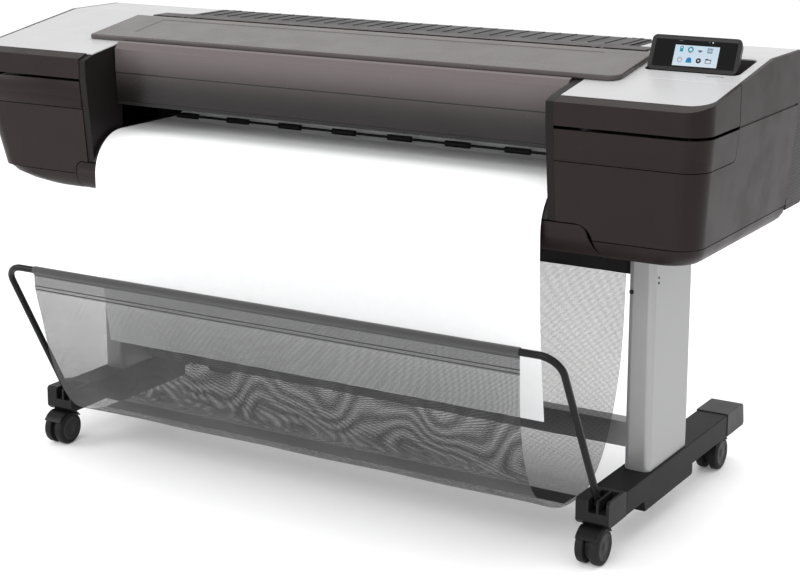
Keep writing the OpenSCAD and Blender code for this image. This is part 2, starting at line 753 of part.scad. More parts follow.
// ---- Window and lids ----
module window() {
    x0 = left_x + 3;
    x1 = right_x - 3;
    t = window_t;
    y = window_y + t / 2;
    line = [
        [y + 4, window_z0], [y, window_z0 + 73], [y, window_top_z - 15],
        [y + 10, window_top_z - t / 2 - 1], [window_pin_y + 4, window_top_z - t / 2]];
    color(darker) placed() {
        along_x(x0, x1) polygon(strip(line, t));
        for (x = [x0, x1 - 12]) bar_x([window_pin_y, window_pin_z], 8.5, x, x + 12);
        bar_x([window_pin_y, window_pin_z], window_pin_r, left_x - 9, x0 + 1);
        bar_x([window_pin_y, window_pin_z], window_pin_r, x1 - 1, right_x + 9);
    }
}
module lid_plan(g) {
    y1 = lid_y1 - g;
    sharp_r = 4;
    translate([path_x, (lid_y0 + g + y1) / 2]) round_rect(lid_w - 2 * g, y1 - lid_y0 - g, lid_r);
    translate([path_x - lid_w / 2 + g + lid_r, lid_y0 + g + lid_r])
        round_rect(2 * lid_r, 2 * lid_r, sharp_r);
}
lid_ear_x = mouth_w / 2 - 40;
module top_lid() {
    g0 = lid_gap;
    inset_w = 1130;
    color([0.42, 0.38, 0.38]) placed() {
        difference() {
            intersection() {
                translate([0, 0, deck_z0]) linear_extrude(100) {
                    lid_plan(0);
                    translate([path_x - lid_w / 2, lid_y1 - lid_r - 1]) square([lid_w, lid_r + 1]);
                }
                along_x(path_x - lid_w / 2, path_x + lid_w / 2) polygon([
                    [lid_y0, deck_z(lid_y0) + g0], [lid_y0, deck_z(lid_y0) + g0 + lid_t - 4],
                    [lid_y0 + 4, deck_z(lid_y0 + 4) + g0 + lid_t],
                    [lid_y1 - 6, deck_z(lid_y1) + g0 + lid_t], [lid_y1, deck_z(lid_y1) + g0 + lid_t - 4],
                    [lid_y1, deck_z(lid_y1) + g0]]);
            }
            along_x(path_x - lid_w / 2 + 8, path_x + lid_w / 2 - 8) polygon([
                [lid_y0 + 8, deck_z(lid_y0) - 1],
                [lid_y0 + 8, deck_z(lid_y0 + 8) + lid_t - 4], [lid_y1 - 8, deck_z(lid_y1 - 8) + lid_t - 4],
                [lid_y1 - 8, deck_z(lid_y1) - 1]]);
            along_x(path_x - inset_w / 2, path_x + inset_w / 2) polygon([
                [lid_y0 + 40, deck_z(lid_y0 + 40) + lid_t],
                [lid_y0 + 40, deck_z(lid_y0 + 40) + lid_t + 5],
                [lid_y1 - 25, deck_z(lid_y1 - 25) + lid_t + 5],
                [lid_y1 - 25, deck_z(lid_y1 - 25) + lid_t]]);
        }
        for (s = [-1, 1]) translate([path_x + s * lid_ear_x, 0, 0]) {
            box([-4, lid_y1 - 1, lid_hinge_z - 5], [4, lid_hinge_y, lid_hinge_z + 5]);
            bar_x([lid_hinge_y, lid_hinge_z], 5, -4, 4);
            bar_x([lid_hinge_y, lid_hinge_z], hinge_r, -12, 12);
        }
    }
}
// Fixed strip between the lid and the loading table, with the lid's hinge lugs.
module top_bridge() {
    ends = lid_w / 2 - 30;
    color(dark) placed() difference() {
        union() {
            box([left_x, bridge_y0, deck_top_z - 26], [right_x, bridge_y1, deck_top_z + 3]);
            box([path_x - ends, bridge_y0, deck_top_z + 0.5], [path_x + ends, bridge_y1, deck_top_z + 3]);
            for (s = [-1, 1]) for (x = [-13, 5]) translate([path_x + s * lid_ear_x + x, 0, 0]) {
                box([0, lid_hinge_y - 1, deck_top_z + 0.5], [8, bridge_y0 + 1, deck_top_z + 3]);
                bar_x([lid_hinge_y, lid_hinge_z], 5.5, 0, 8);
                box([0, lid_hinge_y, lid_hinge_z - 5.5], [8, bridge_y0 + 1, lid_hinge_z + 5.5]);
            }
        }
        box([left_x + 4, bridge_y0 + 4, deck_top_z - 30], [right_x - 4, bridge_y1 - 4, deck_top_z - 1]);
        for (s = [-1, 1]) bar_x([lid_hinge_y, lid_hinge_z], hinge_r + run_fit,
            path_x + s * lid_ear_x - 14, path_x + s * lid_ear_x + 14);
    }
}
table_ear_x = mouth_w / 2 - 40;
module loading_table() {
    z1 = deck_top_z + 1;
    w = mouth_w - 10;
    ribs = 28;
    color(black) placed() translate([path_x, 0, 0]) {
        difference() {
            box([-w / 2, table_y0, z1 - table_t], [w / 2, table_y1, z1]);
            box([-w / 2 + 4, table_y0 + 4, z1 - table_t - 1], [w / 2 - 4, table_y1 - 4, z1 - 3]);
            box([-26, table_y0 - 1, z1 - 2], [26, table_y0 + 16, z1 + 5]);
        }
        for (i = [0:ribs]) translate([-w / 2 + 15 + i * (w - 34) / ribs, 0, 0])
            box([0, table_y0 + 22, z1 - eps], [4, table_y1 - 6, z1 + 1.2]);
        for (s = [-1, 1]) translate([s * table_ear_x, 0, 0]) {
            box([-4, table_y1 - 1, table_hinge_z - 5], [4, table_hinge_y, table_hinge_z + 5]);
            bar_x([table_hinge_y, table_hinge_z], 5, -4, 4);
            bar_x([table_hinge_y, table_hinge_z], hinge_r, -12, 12);
        }
    }
}

// ---- Back ----
rear_x = side_x - 21;
rear_split_z = under_z + 248;
rear_top_line = [
    [rear_front_y, rear_split_z + 2], [358, rear_split_z + 2], [363, rear_split_z + 8],
    [363, deck_z0 + 8], [352, deck_z0 + 20], [273, deck_z0 + 24], [rear_front_y, deck_z0 + 34]];
rear_line = [
    [rear_front_y, under_z + 26], [294, under_z + 26], [302, under_z + 34],
    [352, rear_split_z - 1], [rear_front_y, rear_split_z - 1]];
module rear_top_cover() {
    color(dark) placed() difference() {
        union() {
            difference() {
                along_x(-rear_x, rear_x) polygon(rear_top_line);
                along_x(-rear_x + wall, rear_x - wall) offset(delta = -wall) polygon(rear_top_line);
            }
            for (s = [-1, 1]) for (x = [-13, 5]) translate([path_x + s * table_ear_x + x, 0, 0]) {
                bar_x([table_hinge_y, table_hinge_z], 5.5, 0, 8);
                box([0, table_hinge_y, deck_z0 + 20], [8, table_hinge_y + 10, table_hinge_z]);
            }
        }
        for (s = [-1, 1]) bar_x([table_hinge_y, table_hinge_z], hinge_r + run_fit,
            path_x + s * table_ear_x - 14, path_x + s * table_ear_x + 14);
    }
}
module rear_cover() {
    color(darker) placed() difference() {
        along_x(-rear_x, rear_x) polygon(rear_line);
        along_x(-rear_x + wall, rear_x - wall) offset(delta = -wall) polygon(rear_line);
        translate([-700, 0, under_z + 60]) box([-16, 290, -12], [16, 330, 12]);
    }
}
module power_unit() {
    color(steel) placed() {
        box([-780, rear_front_y + wall + 1, under_z + 40], [-480, 285, under_z + 160]);
        translate([-700, 0, under_z + 60]) difference() {
            box([-14, 285 - eps, -10], [14, 311, 10]);
            box([-11, 296, -7], [11, 312, 7]);
        }
    }
}

// ---- Print engine ----
module frame_plates() {
    color(steel) placed() both() difference() {
        box([plate_x, beam_y - 40, pan_z + 4],
            [plate_x + 3, side_back_d - wall - 4, deck_z(recess_y0) - recess_depth - 8]);
        bar_x([rod_y, rod_z], rod_r + run_fit, plate_x - 1, plate_x + 4);
    }
}
module chassis_beam() {
    color(steel) placed() {
        box([-plate_x, beam_y, platen_z + 23], [plate_x, beam_y + 6, platen_z + 150]);
        for (z = [platen_z + 23, platen_z + 147])
            box([-plate_x, beam_y + 6 - eps, z], [plate_x, beam_y + 9, z + 3]);
    }
}
module slider_rail() {
    color([0.8, 0.8, 0.82]) placed() bar_x([rod_y, rod_z], rod_r, -plate_x - 3, plate_x + 3);
}
head_pitch = 72;
head_w = 60;
head_y0 = -180;
head_y1 = -100;
head_gap = 0.5;
module carriage() {
    color(dark) placed() translate([car_park_x, 0, 0]) difference() {
        union() {
            box([-car_w / 2, -186, car_low_z], [car_w / 2, -62, car_top_z - 20]);
            box([-car_w / 2 + 8, -170, car_top_z - 20 - eps], [car_w / 2 - 8, -70, car_top_z]);
        }
        bar_x([rod_y, rod_z], rod_r + run_fit, -car_w / 2 - 1, car_w / 2 + 1);
        for (i = [-1, 1]) translate([i * head_pitch / 2, 0, 0])
            box([-head_w / 2, head_y0, car_low_z - 1], [head_w / 2, head_y1, car_low_z + 50]);
    }
}
module print_heads() {
    color(black) placed() for (i = [-1, 1]) translate([car_park_x + i * head_pitch / 2, 0, 0])
        box([-head_w / 2 + head_gap, head_y0 + head_gap, platen_z + 2.5],
            [head_w / 2 - head_gap, head_y1 - head_gap, car_low_z + 50]);
}
belt_z = platen_z + 126;
belt_x = plate_x - 40;
module drive_belt() {
    r = 10;
    belt_t = 1.5;
    belt_w = 7;
    color(black) placed() translate([0, beam_y - 1, belt_z]) rotate([90, 0, 0])
        linear_extrude(belt_w) difference() {
            round_rect(2 * (belt_x + r), 2 * r, r - eps);
            round_rect(2 * (belt_x + r - belt_t), 2 * (r - belt_t), r - belt_t - eps);
        }
}
module carriage_motor() {
    color(steel) placed() {
        for (i = [-1, 1]) translate([i * belt_x, beam_y - 0.5, belt_z]) rotate([90, 0, 0])
            cylinder(h = 8, r = 8.3);
        translate([-belt_x, beam_y + 46, belt_z]) rotate([90, 0, 0]) cylinder(h = 37, r = 20);
    }
}
module platen() {
    slots = 40;
    color(black) placed() difference() {
        box([left_x, fall_y + 1, platen_z - 14], [right_x, drive_y - drive_r - 2, platen_z]);
        for (i = [0:slots - 1]) translate([left_x + 20 + i * (mouth_w - 40) / slots, 0, 0])
            box([0, fall_y + 20, platen_z - 2], [8, drive_y - drive_r - 20, platen_z + 1]);
    }
}
module drive_roller() {
    color([0.2, 0.2, 0.21]) placed() {
        bar_x([drive_y, drive_z], drive_r, left_x + 3, right_x - 3);
        bar_x([drive_y, drive_z], 6, left_x - 8, right_x + 8);
    }
}
module pinch_rollers() {
    n = 8;
    pitch = (mouth_w - 120) / (n - 1);
    color([0.2, 0.2, 0.21]) placed() {
        for (i = [0:n - 1]) translate([left_x + 60 + i * pitch, 0, 0])
            bar_x([drive_y, pinch_z], pinch_r, -30, 30);
        bar_x([drive_y, pinch_z], 3, left_x - 8, right_x + 8);
    }
}
module spindle() {
    flange_w = 6;
    color([0.15, 0.3, 0.55]) placed() translate([path_x, 0, 0]) {
        bar_x([roll_y, roll_z], 12, -mouth_w / 2 + 1, mouth_w / 2 - 1);
        bar_x([roll_y, roll_z], 8, -mouth_w / 2 - 10, mouth_w / 2 + 10);
        for (s = [0, 1]) mirror([s, 0, 0]) {
            bar_x([roll_y, roll_z], core_r - 0.2, media_w / 2 - 40, media_w / 2 + eps);
            bar_x([roll_y, roll_z], core_r + 12, media_w / 2 + 0.5, media_w / 2 + 0.5 + flange_w);
        }
    }
}
module paper_roll() {
    color([0.95, 0.95, 0.95]) placed() translate([path_x, 0, 0]) difference() {
        bar_x([roll_y, roll_z], roll_r, -media_w / 2, media_w / 2);
        bar_x([roll_y, roll_z], core_r, -media_w / 2 - 1, media_w / 2 + 1);
    }
}
module paper_sheet() {
    color([0.97, 0.97, 0.97]) placed() along_x(path_x - media_w / 2, path_x + media_w / 2)
        polygon(strip(media_line, media_t));
}
module service_station() {
    color(darker) placed() translate([car_park_x, 0, 0]) difference() {
        box([-70, -185, pan_z + 20], [70, -65, platen_z + 1]);
        for (i = [-1, 1]) translate([i * head_pitch / 2, 0, 0])
            box([-head_w / 2 + 4, head_y0 + 5, platen_z - 12], [head_w / 2 - 4, head_y1 - 4, platen_z + 2]);
    }
}

// ---- Touch panel ----
module touch_frame() { placed() translate([0, touch_y, touch_z]) rotate([-touch_lean, 0, 0]) children(); }
module touch_face(g) {
    translate([(touch_x0 + touch_x1) / 2, touch_lift + touch_h / 2])
        round_rect(touch_w - 2 * g, touch_h - 2 * g, 11 - g);
}
glass_t = 1.6;
glass_in = 9;
module touch_panel() {
    color(darker) touch_frame() difference() {
        union() {
            translate([0, touch_t - touch_front, 0]) rotate([90, 0, 0])
                linear_extrude(touch_t) touch_face(0);
            bar_x([0, 0], 7, touch_x0 + 8, touch_x1 - 8);
            bar_x([0, 0], hinge_r, touch_x0 - recess_side - 2, touch_x1 + recess_side + 2);
        }
        translate([0, -touch_front + glass_t, 0]) rotate([90, 0, 0])
            linear_extrude(glass_t + 1) touch_face(glass_in);
    }
}
module touch_glass() {
    color(black) touch_frame() translate([0, -touch_front + glass_t, 0]) rotate([90, 0, 0])
        linear_extrude(glass_t) touch_face(glass_in + 0.2);
}
module power_key() {
    color(silver) placed() translate([0, 0, deck_z(key_y) - key_h + 0.8])
        linear_extrude(key_h) key_outline(0);
}

foot_left();
foot_right();
front_caps();
rear_caps();
column_left();
column_right();
cross_beam();
stand_screws();
caster_fork_fl();
caster_fork_fr();
caster_fork_rl();
caster_fork_rr();
caster_wheels_fl();
caster_wheels_fr();
caster_wheels_rl();
caster_wheels_rr();
basket_tube();
basket_mesh();
basket_batten();
basket_rail();
bottom_pan();
side_cover_left();
side_cover_right();
fascia_left();
fascia_right();
deck_left();
deck_right();
cheek_left();
cheek_right();
front_skirt();
output_apron();
ink_drawer_left();
ink_drawer_right();
ink_cartridges_left();
ink_cartridges_right();
drawer_runners();
window();
top_lid();
top_bridge();
loading_table();
rear_top_cover();
rear_cover();
frame_plates();
chassis_beam();
slider_rail();
carriage();
print_heads();
drive_belt();
carriage_motor();
platen();
drive_roller();
pinch_rollers();
spindle();
paper_roll();
paper_sheet();
service_station();
touch_panel();
touch_glass();
power_key();
power_unit();
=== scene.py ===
"""A floor-standing roll plotter with its catch basket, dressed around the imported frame."""

import json
import math

import bmesh
import bpy
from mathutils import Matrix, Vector


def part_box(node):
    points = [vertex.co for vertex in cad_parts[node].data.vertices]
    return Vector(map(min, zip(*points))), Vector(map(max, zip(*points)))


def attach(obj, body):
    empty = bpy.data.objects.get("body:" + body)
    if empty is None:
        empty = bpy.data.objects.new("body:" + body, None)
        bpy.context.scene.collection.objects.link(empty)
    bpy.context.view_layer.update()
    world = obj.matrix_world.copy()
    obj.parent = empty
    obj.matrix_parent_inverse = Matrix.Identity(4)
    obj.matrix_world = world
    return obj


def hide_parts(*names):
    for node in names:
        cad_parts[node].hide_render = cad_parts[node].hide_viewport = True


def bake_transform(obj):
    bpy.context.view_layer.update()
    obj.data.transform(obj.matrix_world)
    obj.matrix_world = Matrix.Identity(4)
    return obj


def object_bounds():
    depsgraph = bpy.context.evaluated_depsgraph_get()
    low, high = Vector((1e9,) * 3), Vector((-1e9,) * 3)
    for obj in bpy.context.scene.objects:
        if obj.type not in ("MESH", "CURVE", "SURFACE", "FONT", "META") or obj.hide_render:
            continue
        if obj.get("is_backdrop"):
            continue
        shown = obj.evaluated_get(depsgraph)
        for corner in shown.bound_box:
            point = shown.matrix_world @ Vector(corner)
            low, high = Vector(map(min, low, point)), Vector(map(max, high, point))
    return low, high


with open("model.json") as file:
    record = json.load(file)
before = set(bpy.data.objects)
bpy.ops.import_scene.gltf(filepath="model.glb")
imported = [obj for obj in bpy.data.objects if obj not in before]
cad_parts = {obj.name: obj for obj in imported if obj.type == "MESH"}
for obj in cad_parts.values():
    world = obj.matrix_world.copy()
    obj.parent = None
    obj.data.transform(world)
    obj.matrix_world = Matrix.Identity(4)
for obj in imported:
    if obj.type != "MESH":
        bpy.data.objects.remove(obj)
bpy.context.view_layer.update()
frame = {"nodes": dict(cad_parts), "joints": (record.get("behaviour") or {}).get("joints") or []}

# ---- Studio ----
# The camera stands in front and to the right, a little above the covers. The floor is a white
# sweep in a white room, with soft boxes overhead, in front and at the left, and a faint one
# at the right.
camera_at = (2.1035, -3.3711, 1.464)
camera_turn = math.radians(31.04)
camera_dip = math.radians(12.45)
bpy.ops.object.camera_add(location=camera_at, rotation=(math.pi / 2 - camera_dip, 0, camera_turn))
camera = bpy.context.object
camera.data.lens = 81.8
camera.data.shift_y = -0.1
bpy.context.scene.camera = camera
bpy.context.scene.view_settings.view_transform = "Standard"

bpy.ops.mesh.primitive_plane_add(size=40, location=(0, 0, 0))
floor = bpy.context.object
floor.name = "floor"
sweep = bpy.data.materials.new("white_sweep")
sweep.use_nodes = True
for socket, value in (("Base Color", (0.94, 0.94, 0.94, 1)), ("Roughness", 0.8),
                      ("Emission Color", (1, 1, 1, 1)), ("Emission Strength", 0.1)):
    sweep.node_tree.nodes["Principled BSDF"].inputs[socket].default_value = value
floor.data.materials.append(sweep)
floor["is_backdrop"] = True
world = bpy.data.worlds.new("white_room")
world.use_nodes = True
world.node_tree.nodes["Background"].inputs["Color"].default_value = (1, 1, 1, 1)
world.node_tree.nodes["Background"].inputs["Strength"].default_value = 1.0
bpy.context.scene.world = world


def soft_box(name, at, size, power):
    """An area light that faces the middle of the machine."""
    bpy.ops.object.light_add(type="AREA", location=at)
    light = bpy.context.object
    light.name = name
    light.data.size = size
    light.data.energy = power
    aim = Vector((0, 0, 0.6)) - Vector(at)
    light.rotation_euler = aim.to_track_quat("-Z", "Y").to_euler()


soft_box("box_overhead", (0.7, 0.8, 3.6), 3.0, 60)
soft_box("box_left", (-3.6, -2.6, 2.2), 2.0, 60)
soft_box("box_right", (3.6, -1.0, 1.8), 2.0, 4)
soft_box("box_front", (0.2, -3.9, 2.3), 2.4, 62)


# ---- Feet ----
# Each foot is a welded steel tube with a deeper middle, in fine textured black paint. The
# column stands on it, and a moulded cap closes each end.
def alone(piece=None):
    """Object mode, with nothing selected but the piece."""
    if bpy.context.object and bpy.context.object.mode != "OBJECT":
        bpy.ops.object.mode_set(mode="OBJECT")
    bpy.ops.object.select_all(action="DESELECT")
    if piece:
        piece.select_set(True)
        bpy.context.view_layer.objects.active = piece


def cube(name, low, high):
    """A box from its lowest to its highest corner, to be worked on."""
    alone()
    low, high = Vector(low), Vector(high)
    bpy.ops.mesh.primitive_cube_add(size=1, location=(low + high) / 2, scale=high - low)
    piece = bpy.context.object
    piece.name = name
    bpy.ops.object.transform_apply(location=True, rotation=True, scale=True)
    return piece


def middle(part):
    """The middle of a vertex, an edge or a face."""
    points = [part.co] if isinstance(part, bmesh.types.BMVert) else [v.co for v in part.verts]
    return sum(points, Vector()) / len(points)


def pick(piece, kind, chosen):
    """Edit mode, with the vertices, edges or faces selected that the test names."""
    alone(piece)
    bpy.ops.object.mode_set(mode="EDIT")
    bpy.ops.mesh.select_mode(type=kind)
    bpy.ops.mesh.select_all(action="DESELECT")
    mesh = bmesh.from_edit_mesh(piece.data)
    for part in {"VERT": mesh.verts, "EDGE": mesh.edges, "FACE": mesh.faces}[kind]:
        if chosen(part):
            part.select_set(True)
    bmesh.update_edit_mesh(piece.data)


def move(by):
    """Moves what is selected."""
    bpy.ops.transform.translate(value=by)


def pull(by):
    """Extrudes the selected faces and moves them."""
    bpy.ops.mesh.extrude_region_move(TRANSFORM_OT_translate={"value": by})


def cut(piece, at, normal, drop=None):
    """Cuts through the whole piece; drop names the side to remove, and the cut is closed."""
    alone(piece)
    bpy.ops.object.mode_set(mode="EDIT")
    bpy.ops.mesh.select_all(action="SELECT")
    bpy.ops.mesh.bisect(plane_co=at, plane_no=normal, use_fill=drop is not None,
                        clear_outer=drop == "outer", clear_inner=drop == "inner")


def modify(piece, kind, **settings):
    """Adds a modifier and applies it."""
    alone(piece)
    modifier = piece.modifiers.new(kind.lower(), kind)
    for name, value in settings.items():
        setattr(modifier, name, value)
    bpy.ops.object.modifier_apply(modifier=modifier.name)


def soften(piece, width=0.0012, segments=2, angle=30):
    """Rounds the sharp edges and shades the rest smooth."""
    if width:
        modify(piece, "BEVEL", width=width, segments=segments, limit_method="ANGLE",
               angle_limit=math.radians(angle))
    alone(piece)
    bpy.ops.object.shade_smooth_by_angle(angle=math.radians(angle))
    modify(piece, "WEIGHTED_NORMAL", keep_sharp=True)


class Value:
    """A socket of a material's nodes that can be added, multiplied and compared."""

    def __init__(self, finish, socket):
        self.finish, self.socket = finish, socket

    def maths(self, operation, first, second=None):
        sockets = {0: first} if second is None else {0: first, 1: second}
        return self.finish.node("Math", {"operation": operation}, sockets)

    def __add__(self, other):
        return self.maths("ADD", self, other)

    def __sub__(self, other):
        return self.maths("SUBTRACT", self, other)

    def __mul__(self, other):
        return self.maths("MULTIPLY", self, other)

    def __gt__(self, other):
        return self.maths("GREATER_THAN", self, other)

    def __lt__(self, other):
        return self.maths("LESS_THAN", self, other)

    def wave(self):
        return self.maths("SINE", self)

    def size(self):
        return self.maths("ABSOLUTE", self)

    def part(self):
        return self.maths("FRACT", self)

    def root(self):
        return self.maths("SQRT", self)

    def most(self, other):
        return self.maths("MAXIMUM", self, other)


class Finish:
    """A material made of nodes on one Principled shader."""

    def __init__(self, name):
        self.material = bpy.data.materials.new(name)
        self.material.use_nodes = True
        self.tree = self.material.node_tree
        self.tree.nodes.clear()

    def node(self, kind, settings=None, sockets=None, out=0):
        node = self.tree.nodes.new("ShaderNode" + kind)
        for name, value in (settings or {}).items():
            if name == "stops":
                for stop, (place, shade) in zip(node.color_ramp.elements, value):
                    stop.position, stop.color = place, (shade, shade, shade, 1)
            else:
                setattr(node, name, value)
        for name, value in (sockets or {}).items():
            if isinstance(value, Value):
                self.tree.links.new(value.socket, node.inputs[name])
            else:
                node.inputs[name].default_value = value
        return Value(self, node.outputs[out]) if node.outputs else node

    def place(self, uv=False):
        """Object coordinates, or the piece's own UV map."""
        return self.node("TexCoord", out="UV" if uv else "Object")

    def axis(self, name, uv=False):
        """One axis of the coordinates as a number."""
        return self.node("SeparateXYZ", None, {0: self.place(uv)}, out=name)

    def noise(self, scale, detail=2.0, stretch=(1, 1, 1)):
        at = self.node("Mapping", None, {"Vector": self.place(), "Scale": stretch})
        return self.node("TexNoise", None, {"Vector": at, "Scale": scale, "Detail": detail})

    def ramp(self, value, low, high):
        """0 below low, 1 above high, smooth between."""
        settings = {"interpolation_type": "SMOOTHSTEP"}
        return self.node("MapRange", settings, {"Value": value, "From Min": low, "From Max": high})

    def mix(self, share, first, second):
        """A colour between two colours."""
        return self.node("Mix", {"data_type": "RGBA"}, {0: share, 6: first, 7: second}, out=2)

    def bump(self, height, depth, strength=1.0):
        return self.node("Bump", None, {"Height": height, "Distance": depth, "Strength": strength})

    def shader(self, **sockets):
        """The Principled shader; a socket's name is written with _ for a space."""
        named = {name.replace("_", " "): value for name, value in sockets.items()}
        surface = self.node("BsdfPrincipled", None, named)
        self.node("OutputMaterial", None, {"Surface": surface})
        return self.material


def rgb(r, g, b):
    return (r, g, b, 1.0)


def moulded(name, colour, light, rough, grain=0.00003, pitch=1500.0, sheen=0.22):
    """Moulded plastic: spark-eroded grain, faint flow in the colour, and handled, shinier places."""
    f = Finish(name)
    flow = f.noise(5.0, 3.0)
    handled = f.ramp(f.noise(14.0, 4.0), 0.35, 0.7)
    grains = f.noise(pitch, 1.0)
    return f.shader(
        Base_Color=f.mix(flow, rgb(*colour), rgb(*light)),
        Roughness=handled * 0.07 + rough,
        Specular_IOR_Level=sheen,
        Normal=f.bump(grains, grain, 0.6),
    )


def painted(name, colour, light, rough, metallic=0.0, orange_peel=0.00005, pitch=260.0, specks=0.0):
    """Powder coat or paint on metal: a fine orange peel, a cloudy sheen and a few specks."""
    f = Finish(name)
    cloud = f.noise(9.0, 4.0)
    speck = f.ramp(f.noise(2600.0, 0.0), 0.62, 0.7) * specks
    return f.shader(
        Base_Color=f.mix(cloud * 0.6 + speck, rgb(*colour), rgb(*light)),
        Roughness=cloud * 0.12 + rough,
        Metallic=metallic,
        Specular_IOR_Level=0.5 if metallic else 0.11,
        Normal=f.bump(f.noise(pitch, 2.0), orange_peel, 0.7),
    )


def dress(piece, material, body="root", replaces=()):
    """Gives a finished piece its material, its body and the nodes that it stands for."""
    piece.data.materials.clear()
    piece.data.materials.append(material)
    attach(piece, body)
    if replaces:
        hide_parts(*replaces)
    return piece


def at_box(node):
    """The lowest and highest corners of a node, as six numbers."""
    low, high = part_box(node)
    return low.x, low.y, low.z, high.x, high.y, high.z


def span(edge, axis):
    """How far an edge reaches along an axis."""
    return abs(getattr(edge.verts[0].co, axis) - getattr(edge.verts[1].co, axis))


mm = 0.001
foot_paint = painted("foot_black_paint", (0.004, 0.004, 0.004), (0.009, 0.009, 0.009), 0.42,
                     orange_peel=0.00012, pitch=900.0)
for side in ("left", "right"):
    x0, y0, z0, x1, y1, z1 = at_box("foot_" + side)
    belly = 24 * mm
    column_low, column_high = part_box("column_" + side)
    middle_y = (column_low.y + column_high.y) / 2
    front_y, back_y = middle_y - 135 * mm, middle_y + 127 * mm
    foot = cube("foot_tube_" + side, (x0, y0, z0 + belly), (x1, y1, z1))
    cut(foot, (0, front_y, 0), (0, 1, 0))
    cut(foot, (0, back_y, 0), (0, 1, 0))
    pick(foot, "FACE", lambda f: f.normal.z < -0.9 and front_y < middle(f).y < back_y)
    pull((0, 0, -belly))
    pick(foot, "VERT", lambda v: v.co.z < z0 + mm and v.co.y < middle_y)
    move((0, 8 * mm, 0))
    pick(foot, "EDGE", lambda e: middle(e).z < z0 + mm and middle(e).y > back_y - mm)
    bpy.ops.mesh.bevel(offset=8 * mm, segments=3)
    soften(foot, 2.5 * mm, 3)
    dress(foot, foot_paint, replaces=["foot_" + side])

# ---- Foot caps ----
# The front caps are cast clevises for the basket tube, with two slots and a pin. The rear caps
# are plain mouldings in a lighter grey. Each cap has a socket for its caster's stem below.
def softened(node, name, width, material, body="root", angle=30):
    """A node's own shape with its faces joined and its edges rounded, standing for the node."""
    piece = bpy.data.objects.new(name, frame["nodes"][node].data.copy())
    bpy.context.scene.collection.objects.link(piece)
    alone(piece)
    bpy.ops.object.mode_set(mode="EDIT")
    bpy.ops.mesh.select_all(action="SELECT")
    bpy.ops.mesh.remove_doubles(threshold=1e-6)
    bpy.ops.mesh.dissolve_limited(angle_limit=math.radians(1))
    bpy.ops.object.mode_set(mode="OBJECT")
    soften(piece, width, 2, angle)
    return dress(piece, material, body, [node])


cast_black = moulded("cast_black", (0.007, 0.007, 0.007), (0.013, 0.013, 0.013), 0.40, 0.00006, 700.0, 0.14)
cap_grey = moulded("cap_grey", (0.024, 0.024, 0.025), (0.036, 0.036, 0.037), 0.45, 0.00006, 700.0)
softened("front_caps", "front_cap_clevises", 1.6 * mm, cast_black)
softened("rear_caps", "rear_cap_mouldings", 2.2 * mm, cap_grey)

# ---- Columns, cross beam and basket rail ----
# Extruded aluminium columns with rounded corners in satin silver paint. The beam between them
# is a plain tube, and the black rail above it holds the basket's back edge.
silver = painted("column_silver_paint", (0.30, 0.30, 0.305), (0.36, 0.36, 0.365), 0.34, metallic=0.55)
beam_paint = painted("beam_silver_paint", (0.28, 0.28, 0.285), (0.34, 0.34, 0.345), 0.36, metallic=0.55)
for side in ("left", "right"):
    x0, y0, z0, x1, y1, z1 = at_box("column_" + side)
    column = cube("column_tube_" + side, (x0, y0, z0), (x1, y1, z1))
    pick(column, "EDGE", lambda e: span(e, "z") > 100 * mm)
    bpy.ops.mesh.bevel(offset=14 * mm, segments=10)
    pick(column, "FACE", lambda f: abs(f.normal.z) > 0.9)
    bpy.ops.mesh.inset(thickness=2.5 * mm)
    for face, sink in ((1, -3 * mm), (-1, 3 * mm)):
        pick(column, "FACE", lambda f: f.normal.z * face > 0.9 and len(f.verts) > 8)
        pull((0, 0, sink))
    soften(column, 0.4 * mm, 2)
    dress(column, silver, replaces=["column_" + side])
softened("cross_beam", "cross_beam_tube", 2.5 * mm, beam_paint)
rail_paint = painted("rail_black_paint", (0.010, 0.010, 0.010), (0.018, 0.018, 0.018), 0.38)
softened("basket_rail", "basket_rail_bar", 2 * mm, rail_paint)
fixings = painted("blackened_steel", (0.02, 0.02, 0.02), (0.05, 0.05, 0.05), 0.3, metallic=0.8)
softened("stand_screws", "stand_fixings", 0.4 * mm, fixings)

# ---- Casters ----
# Twin-wheel casters: a moulded fork over two wheels with a polyurethane tread, and a hub cap
# pressed into each outer face.
caster_plastic = moulded("caster_nylon", (0.004, 0.004, 0.004), (0.008, 0.008, 0.008), 0.34, 0.00004,
                         sheen=0.14)
tread = moulded("caster_tread_rubber", (0.008, 0.008, 0.008), (0.016, 0.016, 0.016), 0.5, 0.00008,
                500.0, 0.12)
hub_grey = moulded("caster_hub_grey", (0.014, 0.014, 0.015), (0.022, 0.022, 0.023), 0.38, sheen=0.16)
wheel_r = 38 * mm
wheel_w = 20 * mm
axle_hole_r = 4.1 * mm
guard_half = 24 * mm
guard_r = wheel_r + 2.4 * mm


def spun(name, line, axle, steps=48):
    """A closed shape turned about an axle along X; line holds (x, radius) points, out and back."""
    alone()
    centre = Vector(axle)
    bpy.ops.mesh.primitive_plane_add(size=mm, location=centre)
    piece = bpy.context.object
    piece.name = name
    bpy.ops.object.transform_apply(location=True, rotation=True, scale=True)
    pick(piece, "VERT", lambda v: True)
    bpy.ops.mesh.merge(type="CENTER")
    here = centre
    for step, (x, r) in enumerate(line):
        there = centre + Vector((x, 0, r))
        if step == 0:
            move(there - here)
        else:
            bpy.ops.mesh.extrude_vertices_move(TRANSFORM_OT_translate={"value": there - here})
        here = there
    bpy.ops.mesh.select_all(action="SELECT")
    bpy.ops.mesh.spin(steps=steps, angle=math.tau, center=centre, axis=(1, 0, 0))
    bpy.ops.mesh.select_all(action="SELECT")
    bpy.ops.mesh.remove_doubles(threshold=1e-5)
    bpy.ops.mesh.normals_make_consistent(inside=False)
    bpy.ops.object.mode_set(mode="OBJECT")
    return piece


